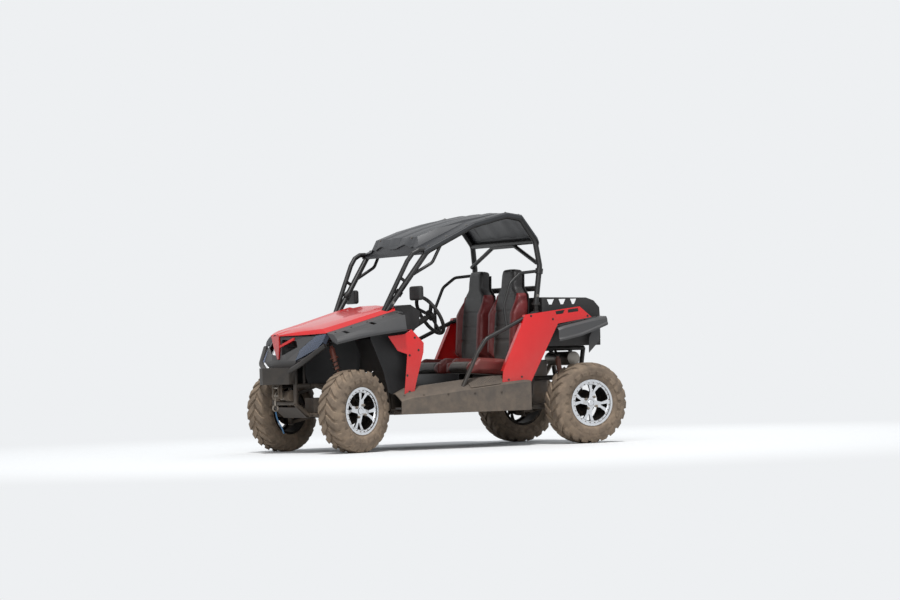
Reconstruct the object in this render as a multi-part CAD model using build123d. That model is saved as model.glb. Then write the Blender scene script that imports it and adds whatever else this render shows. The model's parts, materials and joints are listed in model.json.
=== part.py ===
"""Two-seat side-by-side dune buggy with a roll cage, a hard roof, a cargo bed and a winch.

Frame: +X forward, +Y to the vehicle's left, +Z up, origin on the ground under the middle.
All sizes are in millimetres. Left-hand pieces are drawn and mirrored to the right.
They are drawn from a datum near the middle, and write() moves them to the origin.
"""

import os
from math import atan2, cos, hypot, radians, sin, tan

from build123d import *

os.makedirs("parts", exist_ok=True)

# Overall layout
front_axle_x = 950.0
wheelbase = 2125.0
rear_axle_x = front_axle_x - wheelbase
width_over_tyres = 1510.0
nose_x = 1435.0
tail_x = -1435.0
seat_gap = 0.3
running_gap = 5.0

# Wheels and tyres, 26 inch tyres on 14 inch rims
tyre_radius = 330.0
front_tyre_width = 229.0
rear_tyre_width = 279.0
tyre_wall = 14.0
rim_radius = 177.0
rim_flange = 12.0
rim_wall = 6.0
hub_radius = 40.0
spindle_radius = 20.0
window_radius = 153.0
rim_turn = 12.0
lug_pitches = 12
lug_depth = 14.0
lug_share = 0.5
lug_lean = 0.6
brake_disc_radius = 108.0
brake_disc_thickness = 5.0
axle_z = tyre_radius

# Steering: wheels stand turned to the left, as parked
rest_steer = 22.0
kingpin_inset = 95.0
steering_arm = 110.0
steering_ratio = 7.8
rack_z = tyre_radius + 30
rack_radius = 14.0
tie_rod_radius = 9.0
steering_wheel_radius = 170.0
steering_wheel_centre = Vector(60, 300, 1080)
steering_wheel_tilt = 30.0

# Front and rear suspension
ball_drop = 95.0
ball_rise = 115.0
ball_radius = 22.0
ball_height = 40.0
arm_tube = 26.0
arm_sleeve_radius = 17.0
upper_rail_z = tyre_radius + 210

# Tubes
cage_tube = 45.0
frame_tube = 38.0
cross_tube = 32.0
cross_lift = 2.5
rack_tube = 26.0

# Body heights and widths
rail_z = tyre_radius - 24
rail_y = 300.0
nose_rail_y = 215.0
floor_thickness = 4.0
floor_top = rail_z + frame_tube / 2 + seat_gap + floor_thickness
panel = 5.0
sill_y = 712.0
sill_inner_y = 560.0
side_panel_y = 690.0
bed_half_width = 560.0
bed_wall = 5.0
cage_joint_z = 1060.0
cage_rear_joint_z = 1150.0
roof_half_width = 600.0

front_tyre_y = (width_over_tyres - front_tyre_width) / 2
rear_tyre_y = (width_over_tyres - rear_tyre_width) / 2
kingpin_y = front_tyre_y - kingpin_inset
middle_x = (nose_x + rear_axle_x - tyre_radius) / 2


def mirrored(shape):
    """The same piece on the vehicle's right side."""
    return mirror(shape, about=Plane.XZ)


def both_sides(shape):
    """A left piece and its mirror image as two solids of one node."""
    return Compound(children=[*shape.solids(), *mirrored(shape).solids()])


def write(name, shape):
    """Writes one node, moved so that the origin is under the middle of the whole vehicle."""
    moved = Pos(-middle_x, 0, 0) * Compound(children=list(shape.solids()))
    export_step(moved, f"parts/{name}.step")


def tube(points, diameter, bend=None):
    """A round bar along straight runs joined by bends."""
    points = [Vector(*point) for point in points]
    if len(points) == 2:
        path = Line(*points)
    else:
        path = FilletPolyline(*points, radius=bend)
    start = Plane(origin=path @ 0, z_dir=path % 0)
    return sweep(start * Circle(diameter / 2), path=path)


def bar_y(x, z, y_from, y_to, radius):
    """A round bar across the vehicle."""
    base = Plane(origin=(x, y_from, z), z_dir=(0, 1, 0))
    return extrude(base * Circle(radius), amount=y_to - y_from)


def bar_z(x, y, z_from, z_to, radius):
    """A round upright bar."""
    return extrude(Plane.XY.offset(z_from) * Pos(x, y) * Circle(radius), amount=z_to - z_from)


def block(x_range, y_range, z_range):
    """A box from its three ranges."""
    size = [high - low for low, high in (x_range, y_range, z_range)]
    centre = [(high + low) / 2 for low, high in (x_range, y_range, z_range)]
    return Pos(*centre) * Box(*size)


def side_profile(points, y_from, y_to):
    """A solid with its outline in X and Z, from y_from to y_to."""
    wire = Wire.make_polygon([(x, y_from, z) for x, z in points], close=True)
    return Solid.extrude(Face(wire), Vector(0, y_to - y_from, 0))


def plan_profile(points, z_from, z_to):
    """A solid with its outline in X and Y, from z_from to z_to."""
    wire = Wire.make_polygon([(x, y, z_from) for x, y in points], close=True)
    return Solid.extrude(Face(wire), Vector(0, 0, z_to - z_from))


def front_profile(points, x_from, x_to):
    """A solid with its outline in Y and Z, from x_from to x_to."""
    wire = Wire.make_polygon([(x_from, y, z) for y, z in points], close=True)
    return Solid.extrude(Face(wire), Vector(x_to - x_from, 0, 0))


def ribbon(points, thickness):
    """The outline of a bent sheet: the points, then the same line moved to its right."""
    normals = []
    for (ax, ay), (bx, by) in zip(points, points[1:]):
        length = hypot(bx - ax, by - ay)
        normals.append(((by - ay) / length, (ax - bx) / length))
    moved = []
    for index, (x, y) in enumerate(points):
        before = normals[max(index - 1, 0)]
        after = normals[min(index, len(normals) - 1)]
        nx, ny = before[0] + after[0], before[1] + after[1]
        scale = 2 * thickness / (nx * nx + ny * ny)
        moved.append((x + nx * scale, y + ny * scale))
    return [*points, *reversed(moved)]


def flat_faces(corners):
    """One flat face for four corners, or two triangles where the four don't lie in one plane."""
    a, b, c, d = (Vector(*corner) for corner in corners)
    if abs((b - a).cross(c - a).dot(d - a)) < 1:
        groups = [(a, b, c, d)]
    elif (a - c).length <= (b - d).length:
        groups = [(a, b, c), (a, c, d)]
    else:
        groups = [(a, b, d), (b, c, d)]
    return [Face(Wire.make_polygon(group, close=True)) for group in groups]


def ruled(sections):
    """A solid of flat faces through closed outlines that have the same number of corners."""
    faces = [Face(Wire.make_polygon(points, close=True)) for points in (sections[0], sections[-1])]
    for near, far in zip(sections, sections[1:]):
        for index, corner in enumerate(near):
            after = (index + 1) % len(near)
            faces += flat_faces((corner, near[after], far[after], far[index]))
    return Solid(Shell(faces))


def shell_along_x(sections, thickness):
    """A moulded sheet: each section is x and its line of (y, z), outer side on the left."""
    return ruled([[(x, y, z) for y, z in ribbon(line, thickness)] for x, line in sections])


def symmetric(half_line):
    """A line across the vehicle from its left half, which starts at the left edge."""
    inner = [point for point in half_line if point[0] > 0]
    return [(-y, z) for y, z in inner] + [(y, z) for y, z in reversed(inner)]


def on_line(start, end, z):
    """The point at height z on the line through two points."""
    start, end = Vector(*start), Vector(*end)
    return start + (end - start) * ((z - start.Z) / (end.Z - start.Z))


def turned(shape, side):
    """A front wheel piece turned about its kingpin to the parked angle."""
    axis = Axis((front_axle_x, side * kingpin_y, 0), (0, 0, 1))
    return shape.rotate(axis, rest_steer)


# Cage: one hoop a side from the A-pillar foot over the roof to the B-pillar foot.
pillar_a_top = (201, 571, 1590)
pillar_a_base = (478, 490, 1195)
pillar_b_bend = (-804, 590, 1457)
pillar_b_base = (-766, 590, 1198)
pillar_a_foot = on_line(pillar_a_top, pillar_a_base, cage_joint_z)
pillar_b_foot = on_line(pillar_b_bend, pillar_b_base, cage_rear_joint_z)
roof_rail = [(-215, 571, 1790), (-518, 571, 1868), (-648, 571, 1845), (-779, 571, 1660)]
hoop_bends = [110, 160, 110, 60, 110, 110]
foot_radius = 34.0
foot_thickness = 10.0


def cage_feet(z, foot, upward):
    """The flange of one cage joint, above or below the joint plane."""
    low = z + seat_gap / 2 if upward else z - seat_gap / 2 - foot_thickness
    return bar_z(foot.X, foot.Y, low, low + foot_thickness, foot_radius)


def above(shape, z):
    """What lies above a height."""
    return shape - block((-3000, 3000), (-2000, 2000), (z - 800, z))


def below(shape, z):
    """What lies below a height."""
    return shape - block((-3000, 3000), (-2000, 2000), (z, z + 800))


def pillar_a_path(margin):
    """The two ends of the A-pillar's straight, lengthened downwards by a margin."""
    return [tuple(on_line(pillar_a_top, pillar_a_base, cage_joint_z - margin)), pillar_a_top]


def pillar_b_path(margin):
    """The two ends of the B-pillar's lower straight, lengthened downwards by a margin."""
    return [tuple(on_line(pillar_b_bend, pillar_b_base, cage_rear_joint_z - margin)), pillar_b_bend]


def cage_hoop_path(margin):
    """The centre line of one side hoop."""
    return [*pillar_a_path(margin), *roof_rail, *reversed(pillar_b_path(margin))]


def make_cage():
    hoop = tube(cage_hoop_path(40), cage_tube, bend=hoop_bends)
    gusset = tube([(338, 530, 1395), (150, 556, 1500), (70, 571, 1655)], rack_tube, bend=70)
    side = above(hoop, cage_joint_z + seat_gap / 2)
    side = side + gusset
    side = side + cage_feet(cage_joint_z, pillar_a_foot, True)
    rear_foot = block(
        (pillar_b_foot.X - 200, pillar_b_foot.X + 200),
        (0, 900),
        (cage_joint_z, cage_rear_joint_z + seat_gap / 2),
    )
    side = side - rear_foot
    side = side + cage_feet(cage_rear_joint_z, pillar_b_foot, True)
    cage = side + mirrored(side)
    # Cross tubes: x, z, half length
    for x, z, half in (
        (201, 1590, 571),
        (-779, 1660, 571),
        (-779, 1275, 588),
    ):
        cage = cage + bar_y(x, z, -half, half, cage_tube / 2)
    arch = [(-775, 590, 1484), (-780, 196, 1636), (-780, -196, 1636), (-775, -590, 1484)]
    return cage + tube(arch, rack_tube + 8, bend=90)


# Chassis frame
strut_top = (975, 362, 850)
strut_foot = (925, 455, upper_rail_z - 40)
rear_strut_top = (-1075, 338, 715)
rear_strut_foot = (-1105, 400, rail_z - 16)
post_a_knee = (540, 445, 700)
post_a_base = (470, 430, rail_z)
post_b_knee = (-760, 560, 900)
post_b_base = (-740, 440, rail_z)
nose_x_frame = 1230.0
tail_x_frame = -1345.0
bed_rail_y = 290.0
bed_floor_z = 800.0
bed_rail_z = bed_floor_z - frame_tube / 2 - seat_gap
rail_rise = (1135, 1235, 94)
dash_bar_z = 985.0
hood_post_y = 230.0
arm_inner_y = nose_rail_y + frame_tube / 2 + arm_sleeve_radius + seat_gap
engine_x = (-1060, -800)
muffler_x, muffler_z, muffler_radius = -1221.0, 696.0, 57.0


def post_a_path():
    foot = pillar_a_foot
    top, bottom = cage_joint_z + 30, cage_joint_z - 40
    return [(foot.X, foot.Y, top), (foot.X, foot.Y, bottom), post_a_knee, post_a_base]


def post_b_path():
    foot = pillar_b_foot
    top = (foot.X, foot.Y, cage_rear_joint_z + 30)
    return [top, (foot.X, foot.Y, cage_rear_joint_z - 40), post_b_knee, post_b_base]


def make_chassis():
    bend = 60
    rise_start, rise_end, rise = rail_rise
    rail = [
        (rise_end, nose_rail_y, rail_z + rise),
        (rise_start, nose_rail_y, rail_z),
        (640, nose_rail_y, rail_z),
        (500, rail_y, rail_z),
        (-820, rail_y, rail_z),
        (-960, nose_rail_y, rail_z),
        (tail_x_frame, nose_rail_y, rail_z),
    ]
    half = tube(rail, frame_tube, bend=bend)
    half = half + below(tube(post_a_path(), frame_tube, bend=bend), cage_joint_z - seat_gap / 2)
    half = half + cage_feet(cage_joint_z, pillar_a_foot, False)
    half = half + below(tube(post_b_path(), frame_tube, bend=bend), cage_rear_joint_z - seat_gap / 2)
    half = half + cage_feet(cage_rear_joint_z, pillar_b_foot, False)
    front_top = (nose_x_frame, nose_rail_y, 700)
    strut_bar = (strut_top[0], 330, 880)
    rear_foot = (tail_x_frame, nose_rail_y, rail_z)
    rear_knee = (tail_x_frame, nose_rail_y, upper_rail_z)
    bed_front = (-800, bed_rail_y, bed_rail_z)
    bed_rear = (tail_x_frame, bed_rail_y, bed_rail_z)
    # Straight tubes of one side: start point, end point
    for start, end in (
        ((nose_x_frame, nose_rail_y, rail_z + rise), front_top),
        ((nose_x_frame, nose_rail_y, upper_rail_z), (640, nose_rail_y, upper_rail_z)),
        (front_top, strut_bar),
        (strut_bar, (pillar_a_foot.X, pillar_a_foot.Y, 1000)),
        ((640, nose_rail_y, upper_rail_z), (640, nose_rail_y, rail_z)),
        ((640, nose_rail_y, upper_rail_z), post_a_knee),
        (rear_foot, rear_knee),
        (rear_knee, bed_rear),
        (bed_rear, bed_front),
        (bed_front, post_b_knee),
        (rear_knee, (-900, nose_rail_y, upper_rail_z)),
        ((-900, nose_rail_y, upper_rail_z), post_b_base),
        ((-900, nose_rail_y, upper_rail_z), bed_front),
    ):
        half = half + tube([start, end], frame_tube)
    for base_x, base_y, base_z in (post_a_base, post_b_base):
        half = half + bar_y(base_x, base_z, rail_y, base_y + 10, cross_tube / 2)
    # Seats of the damper tops
    for top, foot, anchor in (
        (strut_top, strut_foot, strut_bar),
        (rear_strut_top, rear_strut_foot, (rear_strut_top[0], bed_rail_y, bed_rail_z)),
    ):
        half = half + damper_seat(top, foot, anchor)
    frame = half + mirrored(half)
    # Cross members: x, z, half length
    for x, z, length in (
        (nose_x_frame, rail_z + rise, nose_rail_y),
        (nose_x_frame, 700, nose_rail_y),
        (front_axle_x + 40, rail_z, nose_rail_y),
        (front_axle_x - 40, rail_z, nose_rail_y),
        (rack_x(), rail_z, nose_rail_y),
        (500, rail_z, rail_y),
        (60, rail_z, rail_y),
        (-400, rail_z, rail_y),
        (-740, rail_z, rail_y),
        (engine_x[1] - 60, rail_z, rail_y - 20),
        (engine_x[0] + 60, rail_z, nose_rail_y),
        (rear_axle_x, rail_z, nose_rail_y),
        (tail_x_frame, rail_z, nose_rail_y),
        (strut_bar[0], strut_bar[2], strut_bar[1]),
        (pillar_a_foot.X, dash_bar_z, pillar_a_foot.Y),
        (tail_x_frame, bed_rail_z, bed_rail_y),
        (-800, bed_rail_z, bed_rail_y),
    ):
        frame = frame + bar_y(x, z + cross_lift, -length, length, cross_tube / 2)
    for side in (1, -1):
        post = bar_z(strut_bar[0], side * hood_post_y, strut_bar[2], hood_sections[2][1] + 60, rack_tube / 2)
        frame = frame + (post - above_hood())
    hanger_low = muffler_z + muffler_radius + seat_gap
    hanger = block(
        (muffler_x - 12, muffler_x + 12), (bed_rail_y - 15, bed_rail_y + 15), (hanger_low, bed_rail_z)
    )
    hanger = hanger - bar_y(muffler_x, muffler_z, 0, 400, muffler_radius + seat_gap)
    hitch = plan_profile(
        ((tail_x_frame, -60), (tail_x_frame, 60), (hitch_x - 24, 28), (hitch_x - 24, -28)),
        rail_z - hitch_thickness / 2,
        rail_z + hitch_thickness / 2,
    )
    hitch = hitch - bar_z(hitch_x, 0, 200, 400, hitch_hole_radius)
    return frame + hanger + hitch


hitch_x = -1405.0
hitch_thickness = 10.0
hitch_hole_radius = 10.5


def damper_seat(top, foot, anchor):
    """The bracket a damper's end bears on, with its stub to the tube that carries it."""
    top, foot, anchor = Vector(*top), Vector(*foot), Vector(*anchor)
    direction = (top - foot).normalized()
    disc = Plane(origin=top + direction * seat_gap, z_dir=direction)
    pad = extrude(disc * Circle(20), amount=12)
    stub = tube([tuple(top + direction * 10), tuple(anchor)], 22)
    return pad + stub - extrude(disc * Circle(40), amount=-60)


def make_floor():
    """Floor, firewall and front arch liner as one moulding."""
    line = [(700, 900), (600, 640), (552, floor_top), (-690, floor_top)]
    pan = side_profile(ribbon(list(reversed(line)), floor_thickness), -sill_inner_y + 5, sill_inner_y - 5)
    pan = pan + both_walls()
    holes = [
        tube(post_a_path()[1:], frame_tube + 2 * running_gap, bend=60),
        tube([(640, nose_rail_y, upper_rail_z), post_a_knee], frame_tube + 2 * running_gap),
        tube([(640, nose_rail_y, upper_rail_z), (640, nose_rail_y, rail_z)], frame_tube + 2 * seat_gap),
        tube(
            [(strut_top[0], 330, 880), (pillar_a_foot.X, pillar_a_foot.Y, 1000)],
            frame_tube + 2 * running_gap,
        ),
    ]
    for hole in holes:
        pan = pan - hole
        pan = pan - mirrored(hole)
    return pan - tube(lower_shaft_path(), 40)


def both_walls():
    """The upstand of the floor along each sill."""
    wall = block((-690, 430), (sill_inner_y - seat_gap - 4, sill_inner_y - seat_gap), (290, 450))
    return wall + mirrored(wall)


def make_skid():
    low = rail_z - frame_tube / 2 - seat_gap
    start, end, rise = rail_rise
    slope = rise / (end - start)
    corner = start + (frame_tube / 2 + seat_gap) * tan(atan2(rise, end - start) / 2)
    line = [(-860, low), (corner, low), (corner + 90, low + 90 * slope)]
    return side_profile(ribbon(line, floor_thickness), -nose_rail_y - 20, nose_rail_y + 20)


# Body panels: lines of (y, z) at each x, outer side on the left when read from the left edge
hood_sections = (
    # x, crown z, crease y, crease z, edge y, edge z
    (1305, 958, 55, 955, 92, 945),
    (1200, 992, 150, 990, 292, 948),
    (1083, 1014, 230, 1012, 508, 956),
    (877, 1060, 300, 1064, 514, 1012),
    (640, 1124, 350, 1128, 514, 1077),
    (470, 1172, 370, 1170, 514, 1122),
)
fender_sections = (
    # x, lip z
    (1078, 866),
    (877, 908),
    (729, 930),
    (470, 960),
)
fender_y = (hood_sections[-1][4] + seat_gap, 640.0, 692.0, 712.0)
fender_windows_x = (981.0, 745.0, 485.0)
beak_low = (1284, 0, 757)
nostril_bar = ((1292, 52, 848), (1236, 212, 906))


def hood_edge_z(x):
    """The height of the hood's edge at x."""
    for (front_x, *_, front_z), (rear_x, *_, rear_z) in zip(hood_sections, hood_sections[1:]):
        if rear_x <= x <= front_x:
            return rear_z + (front_z - rear_z) * (x - rear_x) / (front_x - rear_x)


def hood_lines():
    """The hood's outer line at each x: a steep band along the edge, a crease, a valley and the crown."""
    lines = []
    for x, crown, crease_y, crease_z, edge_y, edge_z in hood_sections:
        band = (crease_z - edge_z) * 0.62
        half = [
            (edge_y, edge_z),
            (edge_y - (edge_y - crease_y) * 0.2, edge_z + band),
            (crease_y, crease_z),
            (crease_y * 0.82, crease_z - 8),
            (crease_y * 0.4, crown),
        ]
        lines.append((x, symmetric(half)))
    return lines


def above_hood():
    """Everything from just under the hood upwards, for cutting what carries it."""
    sections = []
    for x, line in hood_lines():
        lower = ribbon(line, panel + seat_gap)[len(line):]
        outline = [*lower, (line[0][0], 1400), (line[-1][0], 1400)]
        sections.append([(x, y, z) for y, z in outline])
    return ruled(sections)


def nostril_piece(grow):
    """The slanted bar across one nostril, or the room for it when it is grown."""
    depth, height = 12, 22
    ends = []
    for (x, y, z), outward in zip(nostril_bar, (-1, 1)):
        y += 2 * outward * grow
        low, high = z - grow, z + height + grow
        front, back = x + grow, x - depth - grow
        ends.append([(front, y, low), (front, y + 4, high), (back, y + 4, high), (back, y, low)])
    return ruled(ends)


def make_hood():
    hood = shell_along_x(hood_lines(), panel)
    x_front = hood_sections[0][0]
    tip = 12
    beak = ruled(
        [
            [(x_front, -75, 945), (x_front, 75, 945), (x_front - 12, 75, 945), (x_front - 12, -75, 945)],
            [(1296, -56, 862), (1296, 56, 862), (1284, 56, 862), (1284, -56, 862)],
            [
                (beak_low[0], -tip, beak_low[2]),
                (beak_low[0], tip, beak_low[2]),
                (beak_low[0] - 10, tip, beak_low[2]),
                (beak_low[0] - 10, -tip, beak_low[2]),
            ],
        ]
    )
    hood = hood + beak
    bar = nostril_piece(0)
    hood = hood + bar + mirrored(bar)
    pillar = tube(pillar_a_path(60), cage_tube + 2 * running_gap)
    return hood - pillar - mirrored(pillar)


def make_fenders():
    inner_y, shoulder_y, outer_y, lip_y = fender_y
    sections = []
    for x, lip in fender_sections:
        top = hood_edge_z(x) - seat_gap
        line = [
            (inner_y, top),
            (shoulder_y, top - 14),
            (outer_y, top - 42),
            (lip_y, lip + 34),
            (lip_y + 9, lip + 14),
            (lip_y, lip - 4),
            (lip_y - 12, lip - 2),
        ]
        sections.append((x, line))
    fender = shell_along_x(sections, panel)
    front_x, front_line = sections[0]
    cap = [*front_line[:-1], (lip_y - 90, front_line[-1][1] + 20)]
    fender = fender + ruled([[(x, y, z) for y, z in cap] for x in (front_x - panel, front_x)])
    for x in fender_windows_x:
        outline = (
            (x + 30, shoulder_y - 6),
            (x - 4, shoulder_y - 6),
            (x - 34, outer_y - 10),
            (x - 2, outer_y - 10),
        )
        fender = fender - plan_profile(outline, 900, 1200)
    pillar = tube(pillar_a_path(60), cage_tube + 2 * running_gap)
    return both_sides(fender - pillar)


# Headlamp outline on the front corner
lamp_points = (
    (1277, 330, 742),
    (1235, 330, 830),
    (1117, 420, 932),
    (1083, 515, 950),
    (1124, 520, 886),
    (1150, 490, 835),
)
lamp_depth = 45.0
tail_lamp_y = (330.0, 430.0)
tail_lamp_z = (900.0, 975.0)


def lamp_plane():
    a, b, d = (Vector(*lamp_points[i]) for i in (0, 1, 3))
    normal = (d - a).cross(b - a).normalized()
    if normal.X < 0:
        normal = normal * -1
    return Plane(origin=a, x_dir=(b - a), z_dir=normal)


def make_lamp(grow, depths):
    """A lamp body between two depths behind its face, or the hole for it when it is grown."""
    plane = lamp_plane()
    flat = [plane.to_local_coords(Vector(*point)) for point in lamp_points]
    outline = make_face(Polyline(*[(p.X, p.Y) for p in flat], close=True))
    if grow:
        outline = offset(outline, grow)
    front, back = depths
    return plane * (Pos(0, 0, -back) * extrude(outline, amount=back - front, dir=(0, 0, 1)))


def make_tail_lamp():
    """The left tail lamp on the slanted rear wall of the bed."""
    low, high = tail_lamp_z
    outline = (
        (tail_x, low),
        (tail_x, high),
        (bed_rear_x(high) - seat_gap, high),
        (bed_rear_x(low) - seat_gap, low),
    )
    return side_profile(outline, *tail_lamp_y)


def make_lamps():
    pieces = [make_lamp(0, (0, lamp_depth)), make_tail_lamp()]
    return Compound(children=[solid for piece in pieces for solid in both_sides(piece).solids()])


bumper_z = (rail_z + 250, rail_z + 384)
fascia_levels = (
    # z, then (x, y) of the left half from the middle outwards
    (936, ((1290, 70), (1190, 285), (1078, 500))),
    (840, ((1280, 120), (1226, 330), (1140, 500))),
    (745, ((1274, 150), (1262, 335), (1190, 430))),
    (bumper_z[1] + seat_gap, ((1272, 140), (1265, 228), (1252, 236))),
)


nostril_outline = ((95, 915), (235, 900), (285, 850), (120, 795), (60, 790))


def make_fascia():
    sections = []
    for z, half in fascia_levels:
        line = [(x, -y) for x, y in reversed(half)] + list(half)
        sections.append([(x, y, z) for x, y in ribbon(line, -panel)])
    fascia = ruled(sections)
    beak_room = ruled(
        [
            [(1330, -80, 960), (1330, 80, 960), (1240, 80, 960), (1240, -80, 960)],
            [(1330, -60, 862), (1330, 60, 862), (1240, 60, 862), (1240, -60, 862)],
            [(1330, -16, 752), (1330, 16, 752), (1240, 16, 752), (1240, -16, 752)],
        ]
    )
    bar_room = nostril_piece(2 * seat_gap)
    fascia = fascia - beak_room - bar_room - mirrored(bar_room)
    lamp_hole = make_lamp(seat_gap, (-200, 200))
    fascia = fascia - lamp_hole - mirrored(lamp_hole)
    tubes = bull_side_tube(42 + 2 * seat_gap)
    fascia = fascia - tubes - mirrored(tubes)
    upper = front_profile(nostril_outline, beak_low[0] - 140, beak_low[0] + 60)
    return fascia - upper - mirrored(upper)


# Hip bar of the left side
hip_tube = 34.0
hip_path = [(-770, 588, 1085), (-609, 655, 1031), (-255, 672, 874), (-170, 676, 762), (-32, 660, 480)]
hip_bends = [60, 90, 90]

# Outlines in X and Z
front_panel_outline = (
    (605, 916),
    (460, 930),
    (399, 962),
    (296, 854),
    (301, 783),
    (374, 536),
    (396, 440),
    (478, 420),
    (440, 769),
    (523, 798),
)
rear_panel_outline = (
    (-393, 611),
    (-610, 1061),
    (-1109, 1118),
    (-1217, 1029),
    (-905, 983),
    (-636, 500),
    (-380, 490),
)


rear_panel_slots = (
    ((-885, 1083), (-971, 1094), (-956, 1062), (-891, 1057)),
    ((-1000, 1096), (-1092, 1106), (-1098, 1078), (-999, 1068)),
)


def make_front_side_panels():
    plate = side_profile(front_panel_outline, 645, 645 + panel)
    edge = ((399, 962), (296, 854), (301, 783), (374, 536), (396, 440))
    flange = side_profile(ribbon(list(edge), panel), 560, 645 + panel)
    return both_sides(plate + flange - sill_block())


def make_rear_side_panels():
    plate = side_profile(rear_panel_outline, side_panel_y - panel, side_panel_y)
    edge = ((-610, 1061), (-393, 611))
    flange = side_profile(ribbon(list(edge), panel), 640, side_panel_y)
    shape = plate + flange - tube(hip_path, hip_tube + 2 * seat_gap, bend=hip_bends)
    for slot in rear_panel_slots:
        shape = shape - side_profile(slot, 600, 800)
    return both_sides(shape - sill_block())


def sill_line(crease_z, top_z):
    """The outer line of a sill from its inner top edge round to its inner bottom edge."""
    bottom = rail_z - frame_tube / 2
    return [
        (sill_inner_y, top_z),
        (sill_inner_y + 40, top_z),
        (sill_y + 8, crease_z),
        (sill_y, bottom + 4),
        (sill_inner_y, bottom),
    ]


sill_sections = (
    # x, crease z, top z
    (534, 395, 455),
    (440, 418, 500),
    (-40, 467, 548),
    (-400, 503, 575),
    (-630, 522, 560),
)


step_pad_sections = (
    # x, crease z, top z, as the sill has them there
    (-90, 472, 552),
    (-360, 499, 572),
)
step_pad_height = 5.0


def make_sills():
    sill = shell_along_x([(x, sill_line(c, t)) for x, c, t in sill_sections], panel)
    pad = []
    for x, crease, top in step_pad_sections:
        inner, outer = sill_line(crease, top)[1:3]
        low = (outer[0] - 10, outer[1] + 10)
        pad.append((x, [(inner[0] - 20, inner[1]), (inner[0] + 4, inner[1] - 3), low]))
    return both_sides(sill + shell_along_x(pad, -step_pad_height))


def sill_block():
    """The filled sill, for cutting what stands on it."""
    return ruled([[(x, y, z) for y, z in sill_line(c + seat_gap, t + seat_gap)] for x, c, t in sill_sections])


rear_fender_sections = (
    # x, top z, lip z
    (-898, 953, 842),
    (-957, 970, 850),
    (-1102, 1000, 880),
    (-1217, 1022, 918),
    (-1349, 1040, 965),
)


tail_corner = ((-1345, 1036), (-1328, 832), (-1230, 738), (-1234, 860), (-1290, 960), (-1290, 1028))
tail_corner_y = 600.0


def make_rear_fenders():
    sections = []
    for x, top, lip in rear_fender_sections:
        line = [
            (bed_half_width + 3 * seat_gap, top),
            (698, top - 6),
            (714, top - 26),
            (718, lip + 24),
            (728, lip + 10),
            (720, lip - 4),
            (708, lip - 2),
        ]
        sections.append((x, line))
    fender = shell_along_x(sections, panel)
    return both_sides(fender + side_profile(tail_corner, tail_corner_y, tail_corner_y + panel))


bed_front_x = -830.0
bed_outline = (
    (bed_front_x, bed_floor_z),
    (bed_front_x, 1202),
    (-1240, 1192),
    (-1310, 1167),
    (tail_x + 10, 1040),
    (tail_x + 22, 860),
    (tail_x + 60, bed_floor_z),
)
bolt_spacing = (300.0, 700.0)
bolt_hole_radius = 5.25


def bed_rear_x(z):
    """The x of the bed's rear wall at a height."""
    (top_x, top_z), (low_x, low_z) = bed_outline[4], bed_outline[5]
    return top_x + (low_x - top_x) * (top_z - z) / (top_z - low_z)


def make_bed():
    rear_x = tail_x + 10
    outer_plan = ((bed_front_x, bed_half_width), (rear_x + 64, bed_half_width), (rear_x, 450))
    plan = [*outer_plan, *((x, -y) for x, y in reversed(outer_plan))]
    outer = side_profile(bed_outline, -bed_half_width, bed_half_width) & plan_profile(plan, 700, 1300)
    w = bed_wall
    inner_plan = (
        (bed_front_x - w, bed_half_width - w),
        (rear_x + 64 + w * 0.4, bed_half_width - w),
        (rear_x + 14 + w, 450 - w),
    )
    hollow = [*inner_plan, *((x, -y) for x, y in reversed(inner_plan))]
    bed = outer - plan_profile(hollow, bed_floor_z + w, 1300)
    middle_x = (bed_front_x + rear_x) / 2
    for side_x in (1, -1):
        for side_y in (1, -1):
            x = middle_x + side_x * bolt_spacing[0] / 2
            y = side_y * bolt_spacing[1] / 2
            bed = bed - bar_z(x, y, 700, 900, bolt_hole_radius)
    # Windows in the side rails: top front x, top rear x
    for front, rear in ((-878, -944), (-986, -1050), (-1092, -1150)):
        window = side_profile(
            ((front, 1184), (rear, 1184), (rear + 22, 1141), (front - 18, 1141)), -700, 700
        )
        bed = bed - window
    return bed


# Roof: a raised, fluted middle between two wings with rolled edges
roof_sections = (
    # x, side edge z, z of the wing at the step, z of the middle, share of the front lip's waves
    (-800, 1658, 1668, 1672, 0),
    (-786, 1696, 1706, 1712, 0),
    (-655, 1872, 1880, 1894, 0),
    (-518, 1893, 1895, 1900, 0),
    (-215, 1818, 1826, 1845, 0),
    (8, 1712, 1726, 1786, 0),
    (200, 1620, 1640, 1716, 0),
    (238, 1598, 1622, 1650, 1),
)
roof_flutes = (
    # y, rise of the flutes, rise of the front lip's waves
    (330, 0, -16),
    (290, 6, 0),
    (225, 6, 14),
    (190, -2, 10),
    (110, -2, -4),
    (75, 6, -12),
    (12, 6, -16),
)
roof_step_y = 395.0
roof_step_run = 22.0
roof_thickness = 7.0
roof_lip = 30.0


def roof_line(edge, wing, middle, waves):
    """The roof's outer line across the vehicle."""
    half = [
        (roof_half_width - 4, edge - roof_lip),
        (roof_half_width + 2, edge - 8),
        (roof_half_width - 12, edge + 3),
        (roof_step_y + roof_step_run, wing),
        (roof_step_y, middle - 6 * waves),
    ]
    half += [(y, middle + flute * (1 - waves) + lip * waves) for y, flute, lip in roof_flutes]
    return symmetric(half)


def make_roof():
    roof = shell_along_x([(x, roof_line(*heights)) for x, *heights in roof_sections], roof_thickness)
    rail = tube(cage_hoop_path(40), cage_tube + 2 * seat_gap, bend=hoop_bends)
    cross = bar_y(201, 1590, -571, 571, cage_tube / 2 + seat_gap)
    rear = bar_y(-779, 1660, -571, 571, cage_tube / 2 + seat_gap)
    return roof - rail - mirrored(rail) - cross - rear


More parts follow.
